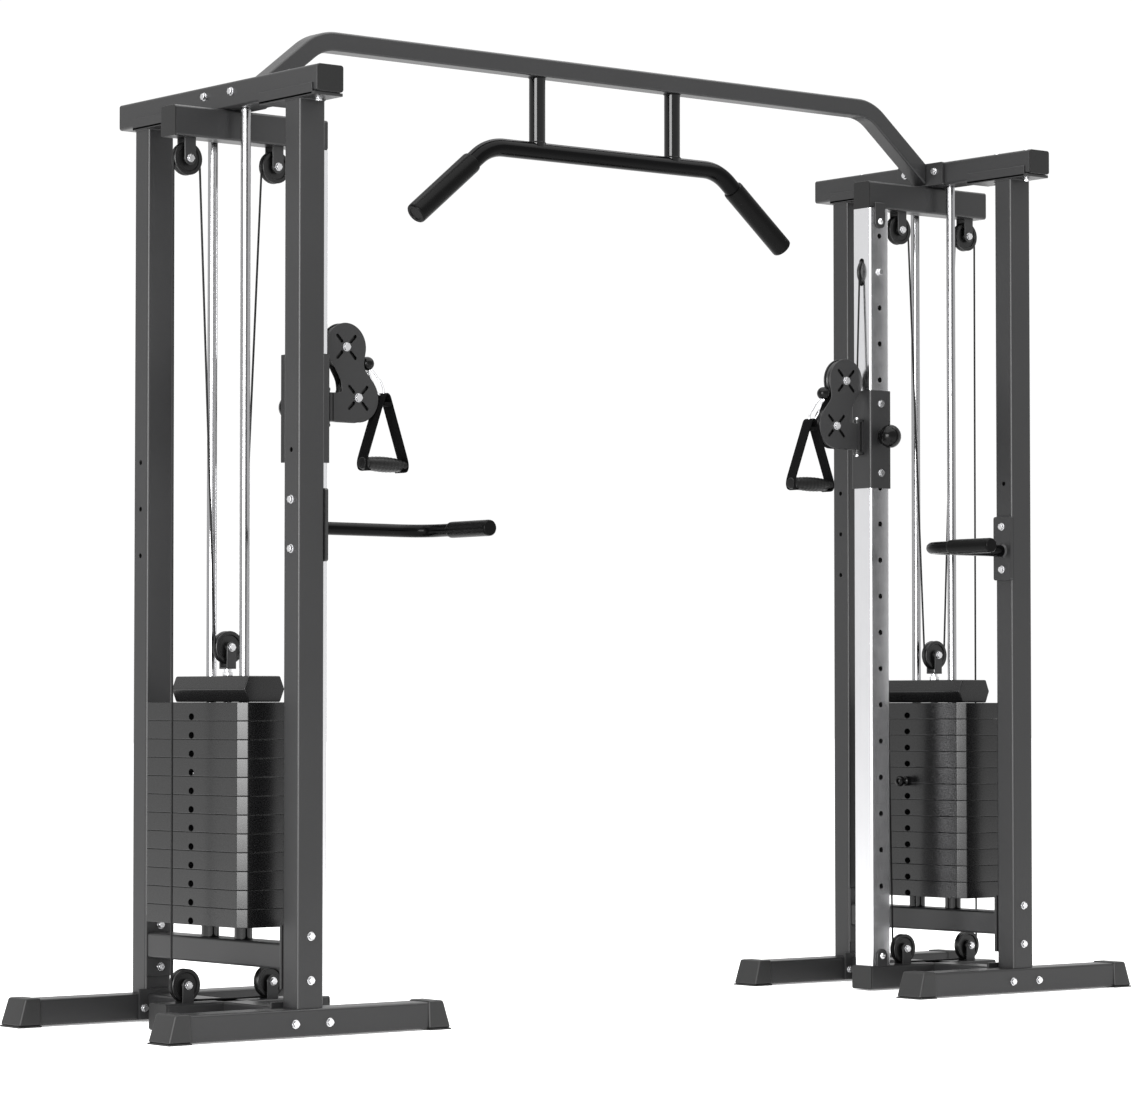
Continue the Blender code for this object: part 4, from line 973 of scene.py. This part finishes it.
def make_cross():
    face = TOWER - 0.0353
    flange = face - 0.008
    centre = (CROSS_BEND_U, CROSS_TOP - CROSS_OUTSIDE)
    outer = arc(centre, CROSS_OUTSIDE, 90, 90 - CROSS_SLOPE, 14)
    inner = arc(centre, CROSS_INSIDE, 90 - CROSS_SLOPE, 90, 14)
    fall = math.tan(math.radians(CROSS_SLOPE))
    ends = [(flange + 0.001, z - fall * (flange + 0.001 - u)) for u, z in (outer[-1], inner[0])]
    right = outer + ends + inner
    left = [(-a, b) for a, b in reversed(right)]
    shapes = [prism(right + left, "Y", PLANE - 0.025, PLANE + 0.025, PAINT, 0.0060, 4)]
    for side in (-1, 1):
        outline = rounded((PLANE, 2.12025), (0.085, 0.02975), 0.005)
        shapes.append(prism(outline, "X", *between(side, flange, face), PAINT, 0.0012, 2))
        for offset in (-0.055, 0.055):
            shapes += bolt("X", (side * flange, PLANE + offset, 2.127), -side)
    build("crossover_tube_form", shapes, "frame", ["crossover_tube"])


def make_bar():
    level = 2.0755
    end = (0.578, 1.897)
    corner = (0.362, level)
    slope = math.degrees(math.atan2(corner[1] - end[1], end[0] - corner[0]))
    hub = (corner[0] - 0.12 * math.tan(math.radians(slope / 2)), level - 0.12)
    bend = arc(hub, 0.12, 90, 90 - slope, 14)
    right = bend + [end]
    path = [(-u, PLANE, z) for u, z in reversed(right)] + [(u, PLANE, z) for u, z in right]
    shapes = [sweep(path, circle(0.0220, 32), GLOSS_PAINT, up=(0, 1, 0))]
    grips = []
    for side in (-1, 1):
        centre = (side * 0.214, PLANE, 0)
        shapes.append(rod("Z", centre, level + 0.004, 2.2547, 0.020, HANGER_PAINT, 40))
        for z, out in ((2.2547, -1), (level + 0.0200, 1)):
            bead = [(0.0200, z), (0.0222, z), (0.0200, z + out * 0.003)]
            shapes.append(lathe(bead, "Z", centre, GLOSS_PAINT, 32, True))
        tip = Vector((side * end[0], PLANE, end[1]))
        lean = (Vector((side * bend[-1][0], PLANE, bend[-1][1])) - tip).normalized()
        profile = [(0, -0.002), (0.0150, -0.002), (0.0165, -0.004), (0.0230, -0.004), (0.0257, -0.0015)]
        profile += [(0.0265, 0.003), (0.0265, 0.208), (0.0257, 0.2125), (0.0221, 0.2135)]
        grip = lathe(profile, "Z", (0, 0, 0), FOAM, 36)
        place = Matrix.Translation(tip) @ lean.to_track_quat("Z", "Y").to_matrix().to_4x4()
        grips.append(moved(grip, place))
    build("pull_up_bar_form", shapes, "frame", ["pull_up_bar"])
    for side, grip in zip((-1, 1), grips):
        name = ("left_" if side < 0 else "right_") + "bar_grip"
        build(name, [grip], "frame")


def make_tower(side):
    prefix = "left_" if side < 0 else "right_"
    for where in (-1, 1):
        make_post(side, where, prefix)
        make_foot(side, where, prefix)
    make_base(side, prefix)
    make_crossbeam(side, prefix)
    make_top(side, prefix)
    make_rods(side, prefix)
    make_column(side, prefix)
    make_dip(side, prefix)
    make_carriage(side, prefix)
    make_plunger(side, prefix)
    make_block(side, prefix)
    make_stack(side, prefix)
    make_cable(side, prefix)
    make_handle(side, prefix)
    for name, centre, outer, run in (
        ("block_pulley_upper", BLOCK_UPPER, BIG_OUT, BLOCK_RUN),
        ("block_pulley_lower", BLOCK_LOWER, BIG_OUT, BLOCK_RUN),
        ("column_pulley", COLUMN_PULLEY, COLUMN_OUT, COLUMN_RUN),
        ("top_pulley_inner", TOP_INNER, SMALL_OUT, SMALL_RUN),
        ("top_pulley_outer", TOP_OUTER, SMALL_OUT, SMALL_RUN),
        ("base_pulley_inner", BASE_INNER, SMALL_OUT, SMALL_RUN),
        ("base_pulley_outer", BASE_OUTER, SMALL_OUT, SMALL_RUN),
        ("stack_pulley", STACK_PULLEY, SMALL_OUT, SMALL_RUN),
    ):
        wheel(side, centre, outer, run, prefix + name, prefix + name + "_wheel")


# ---------------------------------------------------------------- studio

def area(name, place, target, size, power):
    light = bpy.data.lights.new(name, "AREA")
    light.shape = "RECTANGLE"
    light.size = size[0]
    light.size_y = size[1]
    light.energy = power
    obj = bpy.data.objects.new(name, light)
    obj.location = place
    obj.rotation_euler = (Vector(target) - Vector(place)).to_track_quat("-Z", "Y").to_euler()
    bpy.context.scene.collection.objects.link(obj)
    return obj


def make_studio():
    scene = bpy.context.scene
    world = bpy.data.worlds.new("studio")
    world.use_nodes = True
    tree = world.node_tree
    back = tree.nodes["Background"]
    back.inputs["Strength"].default_value = WORLD_STRENGTH
    back.inputs["Color"].default_value = (1, 1, 1, 1)
    scene.world = world
    mesh = bpy.data.meshes.new("floor")
    mesh.from_pydata([(-60, -60, 0), (60, -60, 0), (60, 60, 0), (-60, 60, 0)], [], [(0, 1, 2, 3)])
    floor = bpy.data.objects.new("floor", mesh)
    floor.location = (0, 0, -0.0005)
    scene.collection.objects.link(floor)
    mat, _, bsdf, _ = shader("floor", (0.94, 0.94, 0.94), 0.9, spec=0.1)
    bsdf.inputs["Emission Color"].default_value = (1, 1, 1, 1)
    bsdf.inputs["Emission Strength"].default_value = FLOOR_GLOW
    mesh.materials.append(mat)
    lights = [area("overhead", (0, -0.5, 4.6), (0, 0, 0), (7, 5), OVERHEAD_POWER)]
    lights.append(area("left_strip", (-9.4, -5.3, 2.4), (0, 0, 1.0), (6.4, 4.6), LEFT_POWER))
    cam = bpy.data.cameras.new("camera")
    cam.lens = LENS
    cam.sensor_width = 36.0
    cam.sensor_fit = "HORIZONTAL"
    cam.clip_end = 200
    camera = bpy.data.objects.new("camera", cam)
    camera.location = CAMERA_PLACE
    camera.rotation_euler = [math.radians(angle) for angle in CAMERA_TURN]
    scene.collection.objects.link(camera)
    scene.camera = camera
    scene.view_settings.view_transform = "Standard"


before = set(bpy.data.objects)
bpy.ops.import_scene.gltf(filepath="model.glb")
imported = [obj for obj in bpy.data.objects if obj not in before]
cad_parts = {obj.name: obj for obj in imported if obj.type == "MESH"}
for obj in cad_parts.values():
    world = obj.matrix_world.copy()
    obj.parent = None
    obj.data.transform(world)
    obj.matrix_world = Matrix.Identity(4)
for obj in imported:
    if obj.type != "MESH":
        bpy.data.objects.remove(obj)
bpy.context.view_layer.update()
for tower_side in (-1, 1):
    make_tower(tower_side)
make_cross()
make_bar()
make_studio()
